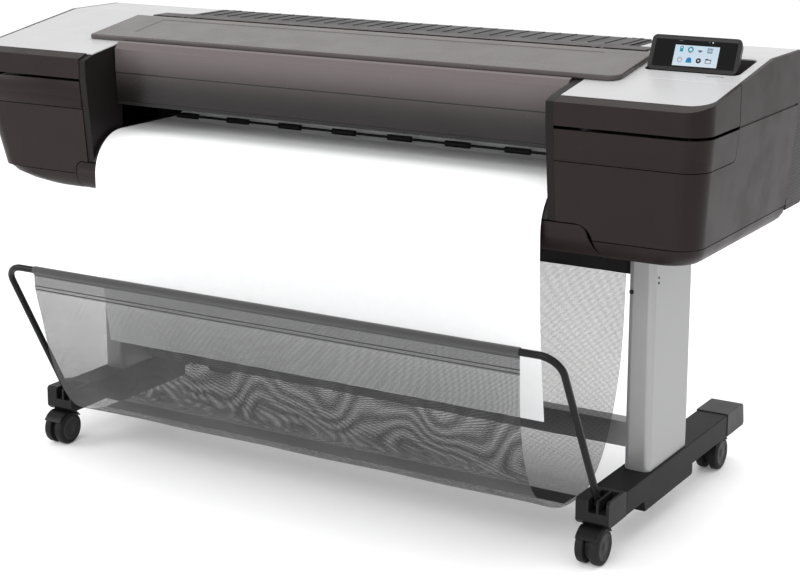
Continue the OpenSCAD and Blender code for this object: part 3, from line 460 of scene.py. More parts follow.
for corner in ("fl", "fr", "rl", "rr"):
    x0, y0, z0, x1, y1, z1 = at_box("caster_wheels_" + corner)
    axle = Vector(((x0 + x1) / 2, (y0 + y1) / 2, (z0 + z1) / 2))
    for hand, letter in ((-1, "a"), (1, "b")):
        inner = hand * (x1 - x0 - 2 * wheel_w) / 2
        outer = inner + hand * wheel_w
        face = outer - hand * 3 * mm
        line = [(inner, axle_hole_r), (inner, wheel_r - 3 * mm), (inner + hand * mm, wheel_r - mm),
                (inner + hand * 3 * mm, wheel_r), (outer - hand * 6 * mm, wheel_r),
                (face, wheel_r - 1.2 * mm), (outer - hand * mm, wheel_r - 4 * mm),
                (outer - hand * 0.5 * mm, wheel_r - 8 * mm), (face, wheel_r - 9 * mm), (face, axle_hole_r)]
        wheel = spun(f"caster_tread_{corner}_{letter}", line + [line[0]], axle)
        soften(wheel, 0)
        dress(wheel, tread, "wheels_" + corner,
              ["caster_wheels_" + corner] if hand > 0 else ())
        line = [(face + hand * out * mm, r * mm) for out, r in
                ((0, 0), (0, 28.6), (2.2, 28.4), (2.8, 26), (1.2, 22), (1.2, 12), (2.9, 9), (2.9, 0))]
        cap = spun(f"caster_hub_{corner}_{letter}", line, axle)
        soften(cap, 0)
        dress(cap, hub_grey, "wheels_" + corner)
    softened("caster_fork_" + corner, "caster_body_" + corner, 1.2 * mm, caster_plastic,
             "fork_" + corner)
    # A moulded mudguard over the two wheels, open below.
    guard_line = [(-guard_half, guard_r), (guard_half, guard_r), (guard_half, guard_r + 2 * mm),
                  (guard_half - 4 * mm, guard_r + 2.8 * mm), (4 * mm - guard_half, guard_r + 2.8 * mm),
                  (-guard_half, guard_r + 2 * mm), (-guard_half, guard_r)]
    guard = spun("caster_guard_" + corner, guard_line, axle)
    cut(guard, (0, 0, axle.z + 22 * mm), (0, 0, 1), "inner")
    cut(guard, (0, 0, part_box("front_caps")[0].z - mm), (0, 0, 1), "outer")
    soften(guard, 0.5 * mm, 2)
    dress(guard, caster_plastic, "fork_" + corner)

# ---- Basket tube ----
# A steel tube bent to a wide U, in gloss black paint. Each end is flattened into an eye that
# turns on the pin of its front foot cap.
def way(joint):
    """Where a joint's axis passes, in the frame."""
    return Vector(next(j["pos_m"] for j in frame["joints"] if j["name"] == joint))


def tube(name, points, radius, sides=6):
    """A round bar along a line of points."""
    alone()
    bpy.ops.mesh.primitive_plane_add(size=mm, location=points[0])
    piece = bpy.context.object
    piece.name = name
    bpy.ops.object.transform_apply(location=True, rotation=True, scale=True)
    pick(piece, "VERT", lambda v: True)
    bpy.ops.mesh.merge(type="CENTER")
    for here, there in zip(points, points[1:]):
        bpy.ops.mesh.extrude_vertices_move(TRANSFORM_OT_translate={"value": Vector(there) - Vector(here)})
    alone(piece)
    bpy.ops.object.convert(target="CURVE")
    piece = bpy.context.object
    piece.data.bevel_depth = radius
    piece.data.bevel_resolution = sides
    piece.data.use_fill_caps = True
    bpy.ops.object.convert(target="MESH")
    return bpy.context.object


def ring(half, inner, outer):
    """The outline of a ring for spun(), with its outer rims broken by a millimetre."""
    return [(-half, inner), (-half, outer - mm), (mm - half, outer), (half - mm, outer),
            (half, outer - mm), (half, inner), (-half, inner)]


gloss_black = painted("basket_tube_paint", (0.008, 0.008, 0.008), (0.014, 0.014, 0.014), 0.16,
                      orange_peel=0.00003, pitch=120.0)
bar_r = 7.5 * mm
bar_x = 689 * mm
bend_r = 45 * mm
hinge_at = way("basket_hinge")
tube_low, tube_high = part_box("basket_tube")
bar_at = Vector((0, tube_low.y + bar_r, tube_high.z - bar_r))
leg = Vector((0, bar_at.y - hinge_at.y, bar_at.z - hinge_at.z))
leg_way = leg.normalized()
elbow = [(bend_r * (1 - math.cos(a)), bend_r * (math.sin(a) - 1)) for a in
         [math.pi / 2 * i / 10 for i in range(11)]]
left_half = [Vector((-bar_x, hinge_at.y, hinge_at.z)) + leg_way * 4 * mm]
left_half += [Vector((-bar_x + x, bar_at.y, bar_at.z)) + leg_way * back for x, back in elbow]
right_half = [Vector((-p.x, p.y, p.z)) for p in reversed(left_half)]
basket_tube = tube("basket_u_tube", left_half + right_half, bar_r, 8)
soften(basket_tube, 0, angle=50)
dress(basket_tube, gloss_black, "basket_frame", ["basket_tube"])
for sign, side in ((-1, "left"), (1, "right")):
    eye = spun("basket_eye_" + side, ring(8 * mm, 3.6 * mm, 9 * mm),
               (sign * bar_x, hinge_at.y, hinge_at.z))
    soften(eye, 0)
    dress(eye, gloss_black, "basket_frame")

# ---- Basket fabric ----
# One width of open polyester mesh. Its front edge is sewn into a sleeve round the tube, with a
# double-stitched hem below, and its back edge is clamped to the black rail. It hangs slack.
def spaced(line, count):
    """Points evenly spaced along a line, and the line's length."""
    reach = [0.0]
    for a, b in zip(line, line[1:]):
        reach.append(reach[-1] + (b - a).length)
    points, k = [], 0
    for i in range(count + 1):
        want = reach[-1] * i / count
        while k < len(line) - 2 and reach[k + 1] < want:
            k += 1
        share = (want - reach[k]) / (reach[k + 1] - reach[k])
        points.append(line[k].lerp(line[k + 1], min(max(share, 0), 1)))
    return points, reach[-1]


def web(name, across, line, count, shape):
    """A grid laid along a line of (y, z) points; shape moves each point by its place."""
    alone()
    points, length = spaced(line, count)
    bpy.ops.mesh.primitive_grid_add(x_subdivisions=across, y_subdivisions=count, size=1)
    piece = bpy.context.object
    piece.name = name
    for v in piece.data.vertices:
        u, w = v.co.x + 0.5, v.co.y + 0.5
        p = points[min(round(w * count), count)]
        v.co = shape(u, w, p)
    return piece, length


fabric_low, fabric_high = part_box("basket_mesh")
fabric_w = fabric_high.x - fabric_low.x
rail_low, rail_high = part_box("basket_rail")
sleeve_r = bar_r + 1.2 * mm
low_y = bar_at.y + 275 * mm
low_z = fabric_low.z + 0.8 * mm
clamp_y = rail_low.y - 1.0 * mm
top_z = bar_at.z - bar_r - 2 * mm
sleeve = [Vector((bar_at.y + sleeve_r * math.cos(a), bar_at.z + sleeve_r * math.sin(a)))
          for a in [math.radians(-80 + 20 * i) for i in range(18)]]
front_fall = [Vector((low_y - (low_y - bar_at.y) * math.cos(a) ** 0.8,
                      low_z + (top_z - low_z) * (1 - math.sin(a)) ** 1.1))
              for a in [math.pi / 2 * i / 24 for i in range(25)]]
back_rise = [Vector((low_y + (clamp_y - low_y) * math.sin(a) ** 0.9,
                     low_z + (rail_low.z - low_z) * (1 - math.cos(a)) ** 0.95))
             for a in [math.pi / 2 * i / 24 for i in range(1, 25)]]
fabric_line = sleeve + front_fall + back_rise + [Vector((clamp_y, rail_high.z - 3 * mm))]


def hang(u, w, p):
    """Sides drawn in a little where nothing holds them, and slack ripples in the panels."""
    held = math.exp(-((w - 0.06) / 0.05) ** 2) + math.exp(-((1.0 - w) / 0.08) ** 2)
    slack = max(0.0, 1 - held)
    half = fabric_w / 2 - 9 * mm * slack * math.sin(math.pi * min(w * 2.1, 1)) ** 2
    x = (u - 0.5) * 2 * half
    ripple = 2.2 * mm * slack * math.sin(u * 23 + 3 * math.sin(w * 9)) * math.sin(math.pi * w)
    edge = 5 * mm * slack * (abs(2 * u - 1) ** 12) * math.sin(w * 11)
    sag = 1.8 * mm * slack * math.sin(u * 61 + w * 17) * math.exp(-((w - 0.2) / 0.1) ** 2)
    lift = min(1.0, (p.y - low_z) / (40 * mm))
    return Vector((x, p.x + (ripple + edge + sag) * lift, p.y + 0.4 * ripple * lift))


fabric, fabric_l = web("basket_fabric", 96, fabric_line, 150, hang)
modify(fabric, "SOLIDIFY", thickness=0.7 * mm, offset=0)
soften(fabric, 0, angle=60)


def mesh_cloth(name, width, length, pitch, share, colour, light):
    """Leno mesh: warp and weft yarns with open squares between them, seen through."""
    f = Finish(name)
    across = f.axis("X", uv=True) * (width / pitch)
    along = f.axis("Y", uv=True) * (length / pitch)
    wander = f.noise(3.0, 3.0) * 1.6
    warp = (across + wander * 0.5).part()
    weft = (along + wander).part()
    warp_on, weft_on = warp < share, weft < share
    hem = f.axis("Y", uv=True)
    sleeve_on = hem < 0.050
    doubled = (hem < 0.080) * 0.25
    lines = ((hem - 0.0705).size() < 0.0013).most((hem - 0.0775).size() < 0.0013)
    covered = warp_on.most(weft_on).most(sleeve_on).most(lines * 0.85).most(doubled)
    round_warp = (warp * (math.pi / share)).wave().size() * warp_on
    round_weft = (weft * (math.pi / share)).wave().size() * weft_on
    return f.shader(
        Base_Color=f.mix(f.noise(40.0, 3.0), rgb(*colour), rgb(*light)),
        Roughness=0.72,
        Alpha=covered,
        Normal=f.bump(round_warp + round_weft, 0.0003, 0.6),
        Sheen_Weight=0.25,
        Sheen_Roughness=0.5,
    )


net = mesh_cloth("basket_net", fabric_w, fabric_l, 2.6 * mm, 0.265, (0.014, 0.014, 0.014),
                 (0.026, 0.026, 0.027))
fabric.data.materials.append(net)
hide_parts("basket_mesh")
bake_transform(fabric)

# ---- Basket batten ----
# A flexible black strip in a pocket along the lowest line of the fabric, which keeps the bag's
# bottom straight.
batten_low, batten_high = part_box("basket_batten")
batten_line = [Vector((batten_low.y, batten_high.z - 1.2 * mm)),
               Vector((batten_high.y, batten_low.z + 0.4 * mm))]
batten, _ = web("basket_bottom_strip", 40, batten_line, 4,
                lambda u, w, p: Vector(((u - 0.5) * (fabric_w - 16 * mm), p.x, p.y)))
modify(batten, "SOLIDIFY", thickness=1.4 * mm, offset=1)
soften(batten, 0.4 * mm, 2)
strip_black = moulded("batten_plastic", (0.018, 0.018, 0.018), (0.030, 0.030, 0.030), 0.45)
dress(batten, strip_black, replaces=["basket_batten"])

# ---- Paper ----
# A white bond sheet comes over the platen and the apron, and its cut end hangs inside the
# basket. The rest is wound on the roll, which sits on a spindle with blue hubs.
sheet_low, sheet_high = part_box("paper_sheet")
sheet_w = sheet_high.x - sheet_low.x
sheet_x = (sheet_high.x + sheet_low.x) / 2
roll_low, roll_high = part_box("paper_roll")
roll_at = (roll_low + roll_high) / 2
roll_r = (roll_high.z - roll_low.z) / 2
platen_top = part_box("platen")[1].z + 0.4 * mm
fall_r = 94 * mm
fall_at = Vector((sheet_low.y + fall_r + 0.3 * mm, platen_top - fall_r))
drive_y = (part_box("drive_roller")[0].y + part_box("drive_roller")[1].y) / 2
leaves = Vector((roll_at.y + 22 * mm, roll_low.z + 3.4 * mm))
feed = [leaves, Vector((roll_at.y - 70 * mm, platen_top + 34 * mm))]
feed += [Vector((drive_y + back * mm, platen_top + up * mm)) for back, up in ((46, 9), (28, 1.6), (14, 0))]
over = [fall_at + fall_r * Vector((math.cos(a), math.sin(a))) for a in
        [math.radians(90 + 90 * i / 20) for i in range(21)]]
drop = over[-1].y - sheet_low.z
hanging = [Vector((over[-1].x + 35 * mm * (i / 16) ** 2, over[-1].y - drop * i / 16)) for i in range(1, 17)]


def sheet_lies(u, w, p):
    """Flat across the machine, with a faint belly in the hanging part and a curl at its end."""
    hung = max(0.0, (w - 0.55) / 0.45)
    belly = 2.5 * mm * hung * math.sin(math.pi * u) - 3 * mm * hung ** 6
    return Vector((sheet_x + (u - 0.5) * sheet_w, p.x + belly, p.y))


paper, paper_l = web("paper_web", 24, feed + over + hanging, 120, sheet_lies)
modify(paper, "SOLIDIFY", thickness=0.25 * mm, offset=0)
soften(paper, 0, angle=60)


def bond(name, fibre_depth):
    """Uncoated bond paper: cool white, cloudy formation and short fibres."""
    f = Finish(name)
    cloud = f.noise(60.0, 4.0)
    fibre = f.noise(900.0, 2.0, stretch=(0.35, 1, 1))
    return f.shader(
        Base_Color=f.mix(cloud, rgb(0.86, 0.865, 0.87), rgb(0.90, 0.905, 0.91)),
        Roughness=fibre * 0.1 + 0.72,
        Normal=f.bump(fibre, fibre_depth, 0.5),
        Specular_IOR_Level=0.3,
    )


bond_white = bond("bond_paper", 0.00002)
dress(paper, bond_white, replaces=["paper_sheet"])
half_roll = (roll_high.x - roll_low.x) / 2
core_r = 28.3 * mm
roll = spun("paper_roll_wound", ring(half_roll, core_r, roll_r), roll_at, 64)
soften(roll, 0)
dress(roll, bond_white, "media_roll", ["paper_roll"])
hub_blue = moulded("spindle_blue_plastic", (0.012, 0.055, 0.20), (0.018, 0.075, 0.26), 0.35)
softened("spindle", "spindle_with_hubs", 0.8 * mm, hub_blue, "media_roll")

# ---- Bottom pan ----
# A wide tray of dark brown moulded plastic that turns under at the front and the ends. The end
# covers stand on its rim with a fine shadow gap.
def drawn(levels, z):
    """A value between levels of (height, value)."""
    for (z0, v0), (z1, v1) in zip(levels, levels[1:]):
        if z <= z1:
            return v0 + (v1 - v0) * max(0.0, z - z0) / (z1 - z0)
    return levels[-1][1]


body_brown = moulded("body_brown", (0.0105, 0.0058, 0.0062), (0.0140, 0.0082, 0.0086), 0.36,
                     0.00002, 1400.0, 0.15)
pan_low, pan_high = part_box("bottom_pan")
under_z = pan_low.z
side_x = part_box("side_cover_right")[1].x
front_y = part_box("ink_drawer_right")[0].y
back_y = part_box("side_cover_right")[1].y
column_y = middle_y
pan_z = under_z + 36 * mm
band_z = under_z + 188 * mm
grip_z = under_z + 257 * mm
strip_z = under_z + 303 * mm
deck_z = under_z + 312 * mm
seam_y = column_y - 142 * mm
half_gap = 0.75 * mm
past = 5 * mm
corner_r = 50 * mm
draw_z = (under_z, under_z + 9 * mm, under_z + 21 * mm, pan_z, band_z, grip_z)
front_in = [(z, draw * mm) for z, draw in zip(draw_z, (46, 34, 26, 22, 7, 0))]
side_in = {"right": front_in,
           "left": [(z, draw * mm) for z, draw in zip(draw_z, (131, 95, 63, 45, 8, 0))]}


def face_at(z):
    """Where the front face stands at a height."""
    return front_y + drawn(front_in, z)


def flank_at(z, side):
    """How far out a side stands at a height."""
    return side_x - drawn(side_in[side], z)


def level_with(v, z):
    """Whether a vertex stands at a height."""
    return abs(v.co.z - z) < 1e-5


def shaped_cover(name, side, inner_x, levels, top_z):
    """A block between two heights whose front and outer faces follow the body's sides."""
    piece = cube(name, (inner_x, front_y, levels[0]), (side_x, back_y, top_z))
    for z in levels[1:]:
        cut(piece, (0, 0, z), (0, 0, 1))
    for z in levels:
        pick(piece, "VERT", lambda v: level_with(v, z) and v.co.y < front_y + mm)
        move((0, face_at(z) - front_y, 0))
        pick(piece, "VERT", lambda v: level_with(v, z) and v.co.x > side_x - mm)
        move((flank_at(z, side) - side_x, 0, 0))
    pick(piece, "EDGE", lambda e: span(e, "z") > mm
         and middle(e).y < front_y + 60 * mm and middle(e).x > inner_x + 90 * mm)
    bpy.ops.mesh.bevel(offset=corner_r, offset_type="OFFSET", segments=12)
    return piece


def mirrored(piece):
    """Turns a right-hand piece into its left-hand twin."""
    pick(piece, "VERT", lambda v: True)
    bpy.ops.transform.mirror(constraint_axis=(True, False, False), center_override=(0, 0, 0))
    bpy.ops.mesh.flip_normals()


pan = cube("bottom_pan_tray", (pan_low.x, pan_low.y, under_z), (pan_high.x, pan_high.y, pan_z - half_gap))
levels = [under_z + up * mm for up in (0, 3, 9, 15, 21, 28)]
for z in levels[1:]:
    cut(pan, (0, 0, z), (0, 0, 1))
for z in levels + [pan_z - half_gap]:
    pick(pan, "VERT", lambda v: level_with(v, z) and v.co.x < 0)
    move((-flank_at(z, "left") - pan_low.x, 0, 0))
    pick(pan, "VERT", lambda v: level_with(v, z) and v.co.x > 0)
    move((flank_at(z, "right") - pan_high.x, 0, 0))
    pick(pan, "VERT", lambda v: level_with(v, z) and v.co.y < column_y)
    move((0, face_at(z) - pan_low.y, 0))
pick(pan, "EDGE", lambda e: span(e, "z") > mm and middle(e).y < column_y)
bpy.ops.mesh.bevel(offset=corner_r, offset_type="OFFSET", segments=12)
pick(pan, "FACE", lambda f: f.normal.z > 0.9)
bpy.ops.mesh.inset(thickness=4 * mm)
pull((0, 0, -6 * mm))


def carve(piece, tool):
    """Cuts a shape out of a piece and takes the shape away. Cutters reach past the outer faces."""
    modify(piece, "BOOLEAN", operation="DIFFERENCE", solver="EXACT", object=tool)
    bpy.data.objects.remove(tool)


def skirt_shape(gap, low_y, high_y, bottom_z):
    """A cutter with the front skirt's outline: round at the left corner, slanted at the right."""
    slant, round_r = 26 * mm, 24 * mm
    top = skirt_top + gap
    shape = cube("cutter", (skirt_left - gap, low_y, bottom_z), (skirt_right + gap, high_y, top))
    pick(shape, "VERT", lambda v: v.co.x > 0 and v.co.z > top - mm)
    move((-slant, 0, 0))
    pick(shape, "EDGE", lambda e: span(e, "y") > mm and middle(e).z > top - mm)
    bpy.ops.mesh.bevel(offset=round_r, segments=8)
    return shape


skirt_low, skirt_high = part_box("front_skirt")
skirt_left, skirt_right, skirt_top = skirt_low.x, skirt_high.x, skirt_high.z
skirt_gap = 1.5 * mm
carve(pan, skirt_shape(skirt_gap, front_y - past, front_y + 62 * mm, under_z - past))
soften(pan, 0.8 * mm, 2, 35)
dress(pan, body_brown, replaces=["bottom_pan"])

# ---- End covers ----
# One deep moulding closes each end of the body below the ink drawer and behind it, up to the
# white deck. A long pull groove runs along its side at the height of the drawer's top.
cheek_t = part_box("cheek_right")[1].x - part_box("cheek_right")[0].x
inner = {"left": -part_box("cheek_left")[0].x, "right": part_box("cheek_right")[1].x}
wall = 4 * mm
rim = 8 * mm
deck_rise = 53 * mm
deck_run = 326 * mm
deck_front_y = front_y + 28 * mm
deck_bend_y = deck_front_y + deck_run
deck_top = deck_z + deck_rise


def deck_at(y):
    """Height of the deck's surface at a depth."""
    return deck_z + deck_rise * min(max(y - deck_front_y, 0), deck_run) / deck_run


slope = Vector((0, -deck_rise, deck_run)).normalized()
chamfer = Vector((0, -(deck_z - strip_z), deck_front_y - front_y)).normalized()


def trimmed(piece):
    """Cuts a cover's top to the chamfer, the slope and the level part of the deck."""
    cut(piece, (0, front_y, strip_z), chamfer, "outer")
    cut(piece, (0, deck_front_y, deck_z), slope, "outer")
    cut(piece, (0, 0, deck_top), (0, 0, 1), "outer")


for side in ("left", "right"):
    cover = shaped_cover("end_cover_" + side, side, inner[side], [pan_z + half_gap, band_z, grip_z],
                         deck_top + 40 * mm)
    cut(cover, (0, deck_front_y, deck_z), slope, "outer")
    cut(cover, (0, 0, deck_top), (0, 0, 1), "outer")
    bay = cube("cutter", (inner[side] - mm, front_y - past, band_z - half_gap),
               (side_x + past, seam_y + half_gap, deck_top + 50 * mm))
    pick(bay, "EDGE", lambda e: span(e, "x") > mm
         and middle(e).y > seam_y and middle(e).z < band_z)
    bpy.ops.mesh.bevel(offset=12 * mm, segments=6)
    carve(cover, bay)
    # The block becomes a shell, open inwards, above and below, and where the drawer goes in.
    pick(cover, "FACE", lambda f: abs(f.normal.x) > 0.99 and middle(f).x < inner[side] + mm
         or f.normal.z > 0.6 or f.normal.z < -0.9
         or abs(f.normal.x) < 0.01 and f.normal.y < -0.1
         and seam_y - 14 * mm < middle(f).y < seam_y + 2 * mm)
    bpy.ops.mesh.delete(type="FACE")
    modify(cover, "SOLIDIFY", thickness=rim, offset=-1)
    groove = cube("cutter", (side_x - 3 * mm, seam_y + 2 * mm, grip_z - 4 * mm),
                  (side_x + past, back_y - 12 * mm, grip_z))
    carve(cover, groove)
    if side == "left":
        mirrored(cover)
    carve(cover, skirt_shape(skirt_gap, front_y - past, front_y + 60 * mm, under_z - past))
    soften(cover, 0.9 * mm, 2, 35)
    dress(cover, body_brown, replaces=["side_cover_" + side])

# ---- Fascias ----
# The band over each ink drawer, with a broad chamfer along its top that frames the white deck.
deck_gap = 0.5 * mm
deck_sink = 3.4 * mm
deck_corner_r = 46 * mm
for side in ("left", "right"):
    fascia = shaped_cover("fascia_band_" + side, side, inner[side], [grip_z], deck_top + 40 * mm)
    trimmed(fascia)
    cut(fascia, (0, seam_y - half_gap, 0), (0, 1, 0), "outer")
    pocket = cube("cutter", (inner[side] - mm, deck_front_y, deck_z - deck_sink),
                  (side_x - rim, seam_y + past, deck_top + 50 * mm))
    pick(pocket, "EDGE", lambda e: span(e, "z") > mm
         and middle(e).y < deck_front_y + mm and middle(e).x > side_x - 20 * mm)
    bpy.ops.mesh.bevel(offset=deck_corner_r, segments=10)
    cut(pocket, (0, deck_front_y, deck_z - deck_sink), slope, "inner")
    carve(fascia, pocket)
    # Room under the deck, where the carriage parks and where it turns at the far end.
    hollow = cube("cutter", (inner[side] - mm, front_y + 45 * mm, grip_z - past),
                  (side_x - 45 * mm, seam_y + past, deck_top))
    cut(hollow, (0, deck_front_y, deck_z - 8 * mm), slope, "outer")
    carve(fascia, hollow)
    if side == "left":
        mirrored(fascia)
    soften(fascia, 0.9 * mm, 3, 25)
    dress(fascia, body_brown, replaces=["fascia_" + side])

# ---- White decks ----
# Satin off-white panels let into the rim, with a fine crease above the drawer's seam. The right
# one has the tray for the touch panel and the slot for the power key.
deck_white = moulded("deck_white_satin", (0.385, 0.385, 0.39), (0.425, 0.425, 0.43), 0.30, 0.00001, 900.0)
tray_dark = moulded("touch_tray_dark", (0.05, 0.045, 0.045), (0.07, 0.063, 0.063), 0.4)
key_low, key_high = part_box("power_key")
touch_w = 188 * mm
touch_mid_x = side_x - 32 * mm - touch_w / 2
tilt_at = way("touch_tilt")
tray_low = Vector((touch_mid_x - touch_w / 2 - 5 * mm, tilt_at.y - 14 * mm, 0))
tray_high = Vector((touch_mid_x + touch_w / 2 + 5 * mm, tilt_at.y + 99 * mm, 0))
tray_z = deck_at(tray_low.y) - 33 * mm
tray_r = 14 * mm


def upright_edges(e):
    """Edges that stand on end."""
    return span(e, "z") > 0.6 * (e.verts[0].co - e.verts[1].co).length > 0


for side in ("left", "right"):
    inner_x = inner[side] - cheek_t + mm if side == "left" else inner[side] + mm
    outer_x = side_x - rim - deck_gap
    panel = cube("white_deck_" + side, (inner_x, deck_front_y + deck_gap, deck_z - 3 * mm),
                 (outer_x, back_y - mm, deck_z))
    for y in (seam_y - mm, seam_y, seam_y + mm, deck_bend_y):
        cut(panel, (0, y, 0), (0, 1, 0))
    pick(panel, "EDGE", lambda e: upright_edges(e) and middle(e).y < deck_front_y + mm
         and middle(e).x > outer_x - mm)
    bpy.ops.mesh.bevel(offset=deck_corner_r, segments=12)
    bpy.ops.object.mode_set(mode="OBJECT")
    for v in panel.data.vertices:
        v.co.z += deck_at(v.co.y) - deck_z + 0.2 * mm
    pick(panel, "VERT", lambda v: abs(v.co.y - seam_y) < 0.3 * mm and v.co.z > deck_at(seam_y))
    move((0, 0, -0.7 * mm))
    if side == "right":
        key_gap = 0.5 * mm
        above = deck_top + 20 * mm
        for low, high, radius, steps in (
                ((tray_low.x, tray_low.y, tray_z), (tray_high.x, tray_high.y, above), tray_r, 8),
                ((key_low.x - key_gap, key_low.y - key_gap, deck_z - 10 * mm),
                 (key_high.x + key_gap, key_high.y + key_gap, above), 4 * mm, 6)):
            hole = cube("cutter", low, high)
            pick(hole, "EDGE", upright_edges)
            bpy.ops.mesh.bevel(offset=radius, segments=steps)
            carve(panel, hole)
    else:
        mirrored(panel)
    soften(panel, 0.8 * mm, 3, 30)
    dress(panel, deck_white, replaces=["deck_" + side])

tray = cube("touch_panel_tray", (tray_low.x, tray_low.y, tray_z),
            (tray_high.x, tray_high.y, deck_top + 5 * mm))
pick(tray, "EDGE", upright_edges)
bpy.ops.mesh.bevel(offset=tray_r, segments=8)
cut(tray, (0, deck_front_y, deck_z - 2 * mm), slope, "outer")
pick(tray, "FACE", lambda f: f.normal.z > 0.9)
bpy.ops.mesh.delete(type="FACE")
pick(tray, "EDGE", lambda e: middle(e).z < tray_z + mm)
bpy.ops.mesh.bevel(offset=4 * mm, segments=3)
modify(tray, "SOLIDIFY", thickness=2.4 * mm, offset=1)
soften(tray, 0.4 * mm, 2)
dress(tray, tray_dark)

# ---- Ink drawers ----
# The band below each finger undercut is a drawer's front and side. It slides forward with three
# ink cartridges in a row, on two bent steel runners.
drawer_floor = band_z + 5 * mm
drawer_back = column_y - 194 * mm
drawer_top = grip_z - 6 * mm
tray_wall = 2 * mm
tray_h = 34 * mm
heel_r = 12 * mm
for side in ("left", "right"):
    drawer = shaped_cover("ink_drawer_front_" + side, side, inner[side] + mm, [band_z + half_gap],
                          drawer_top)
    cut(drawer, (0, seam_y - half_gap, 0), (0, 1, 0), "outer")
    pick(drawer, "FACE", lambda f: abs(f.normal.z) > 0.9 or f.normal.y > 0.9
         or f.normal.x < -0.99 and middle(f).x < inner[side] + 2 * mm)
    bpy.ops.mesh.delete(type="FACE")
    modify(drawer, "SOLIDIFY", thickness=wall, offset=-1)
    heel = cube("cutter", (side_x - 60 * mm, seam_y - heel_r, band_z),
                (side_x + past, seam_y, band_z + heel_r))
    barrel = spun("barrel", [(-80 * mm, 0.0), (-80 * mm, heel_r), (20 * mm, heel_r), (20 * mm, 0.0)],
                  (side_x - 20 * mm, seam_y - heel_r, band_z + heel_r + half_gap))
    carve(heel, barrel)
    carve(drawer, heel)
    soften(drawer, 0.9 * mm, 2, 35)
    if side == "left":
        mirrored(drawer)
        alone(drawer)
    dress(drawer, body_brown, "drawer_" + side)
    x0 = inner[side] + mm
    tray_part = cube("ink_drawer_tray_" + side, (x0, front_y + wall, drawer_floor),
                     (side_x - wall - 3 * mm, drawer_back, drawer_floor + tray_h))
    pick(tray_part, "EDGE", lambda e: upright_edges(e) and middle(e).x > x0 + 90 * mm
         and middle(e).y < front_y + 10 * mm)
    bpy.ops.mesh.bevel(offset=corner_r - wall, segments=8)
    pick(tray_part, "FACE", lambda f: f.normal.z > 0.9)
    bpy.ops.mesh.inset(thickness=tray_wall)
    pull((0, 0, 3 * mm - tray_h))
    soften(tray_part, 0.5 * mm, 2)
    if side == "left":
        mirrored(tray_part)
        alone(tray_part)
    dress(tray_part, body_brown, "drawer_" + side, ["ink_drawer_" + side])
cartridge_black = moulded("cartridge_black", (0.014, 0.014, 0.014), (0.024, 0.024, 0.024), 0.32)
plated = painted("zinc_plated_sheet", (0.42, 0.43, 0.44), (0.56, 0.57, 0.58), 0.28, metallic=0.95)
for side in ("left", "right"):
    softened("ink_cartridges_" + side, "ink_cartridge_row_" + side, 1.2 * mm, cartridge_black,
             "drawer_" + side)
softened("drawer_runners", "drawer_runner_rails", 0.6 * mm, plated)

# ---- Front skirt, apron and cheeks ----
# The skirt closes the body under the paper's mouth. Behind it a ribbed black apron turns the
# print down, and the two cheeks are the inner walls of the end modules.
inner_black = moulded("inner_black", (0.0045, 0.0043, 0.0043), (0.009, 0.0085, 0.0085), 0.5)
cheek_brown = moulded("cheek_brown", (0.006, 0.0045, 0.0046), (0.010, 0.0080, 0.0082), 0.42, sheen=0.12)
softened("front_skirt", "front_skirt_moulding", 1.2 * mm, body_brown)
softened("output_apron", "output_apron_ribs", 0.5 * mm, inner_black)
for side in ("left", "right"):
    softened("cheek_" + side, "module_cheek_" + side, 1.5 * mm, cheek_brown)

# ---- Window ----
# A tinted brown moulding right across the mouth, hinged under the lid's front edge. A fine step
# runs along its middle, and a black lip closes its lower edge.
window_low, window_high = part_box("window")


def tinted_with_painted_light(name, low, high, rough):
    """Tinted brown moulding with painted light in its colour: painted shade makes it near black low down,
    where the throat is behind it, and a painted highlight makes it lighter towards its top.
    """
    f = Finish(name)
    # The share of the light colour climbs with height: painted shade below, painted highlight above.
    painted_light_rise = f.ramp(f.axis("Z"), window_low.z - 5 * mm, window_high.z - 10 * mm)
    flow = f.noise(5.0, 3.0) * 0.1
    return f.shader(
        Base_Color=f.mix(painted_light_rise * painted_light_rise + flow, rgb(*low), rgb(*high)),
        Roughness=f.noise(12.0, 3.0) * 0.05 + rough,
        Specular_IOR_Level=0.25,
        Normal=f.bump(f.noise(1800.0, 1.0), 0.000004, 0.5),
    )


# The window's colour runs from painted shade at its foot to a painted highlight at its top.
window_brown = tinted_with_painted_light("window_brown", (0.0040, 0.0030, 0.0030), (0.105, 0.089, 0.089), 0.24)
lip_black = moulded("window_lip_black", (0.008, 0.0075, 0.0075), (0.014, 0.013, 0.013), 0.3)


def bent(name, line, x0, x1, thick):
    """A panel bent along X: the rows of a grid follow a line of (y, z) points, then thickened."""
    alone()
    rows = len(line) - 1
    bpy.ops.mesh.primitive_grid_add(x_subdivisions=1, y_subdivisions=rows, size=1)
    piece = bpy.context.object
    piece.name = name
    for v in piece.data.vertices:
        y, z = line[round((v.co.y + 0.5) * rows)]
        v.co = (x0 if v.co.x < 0 else x1, y, z)
    modify(piece, "SOLIDIFY", thickness=thick, offset=-1)
    return piece


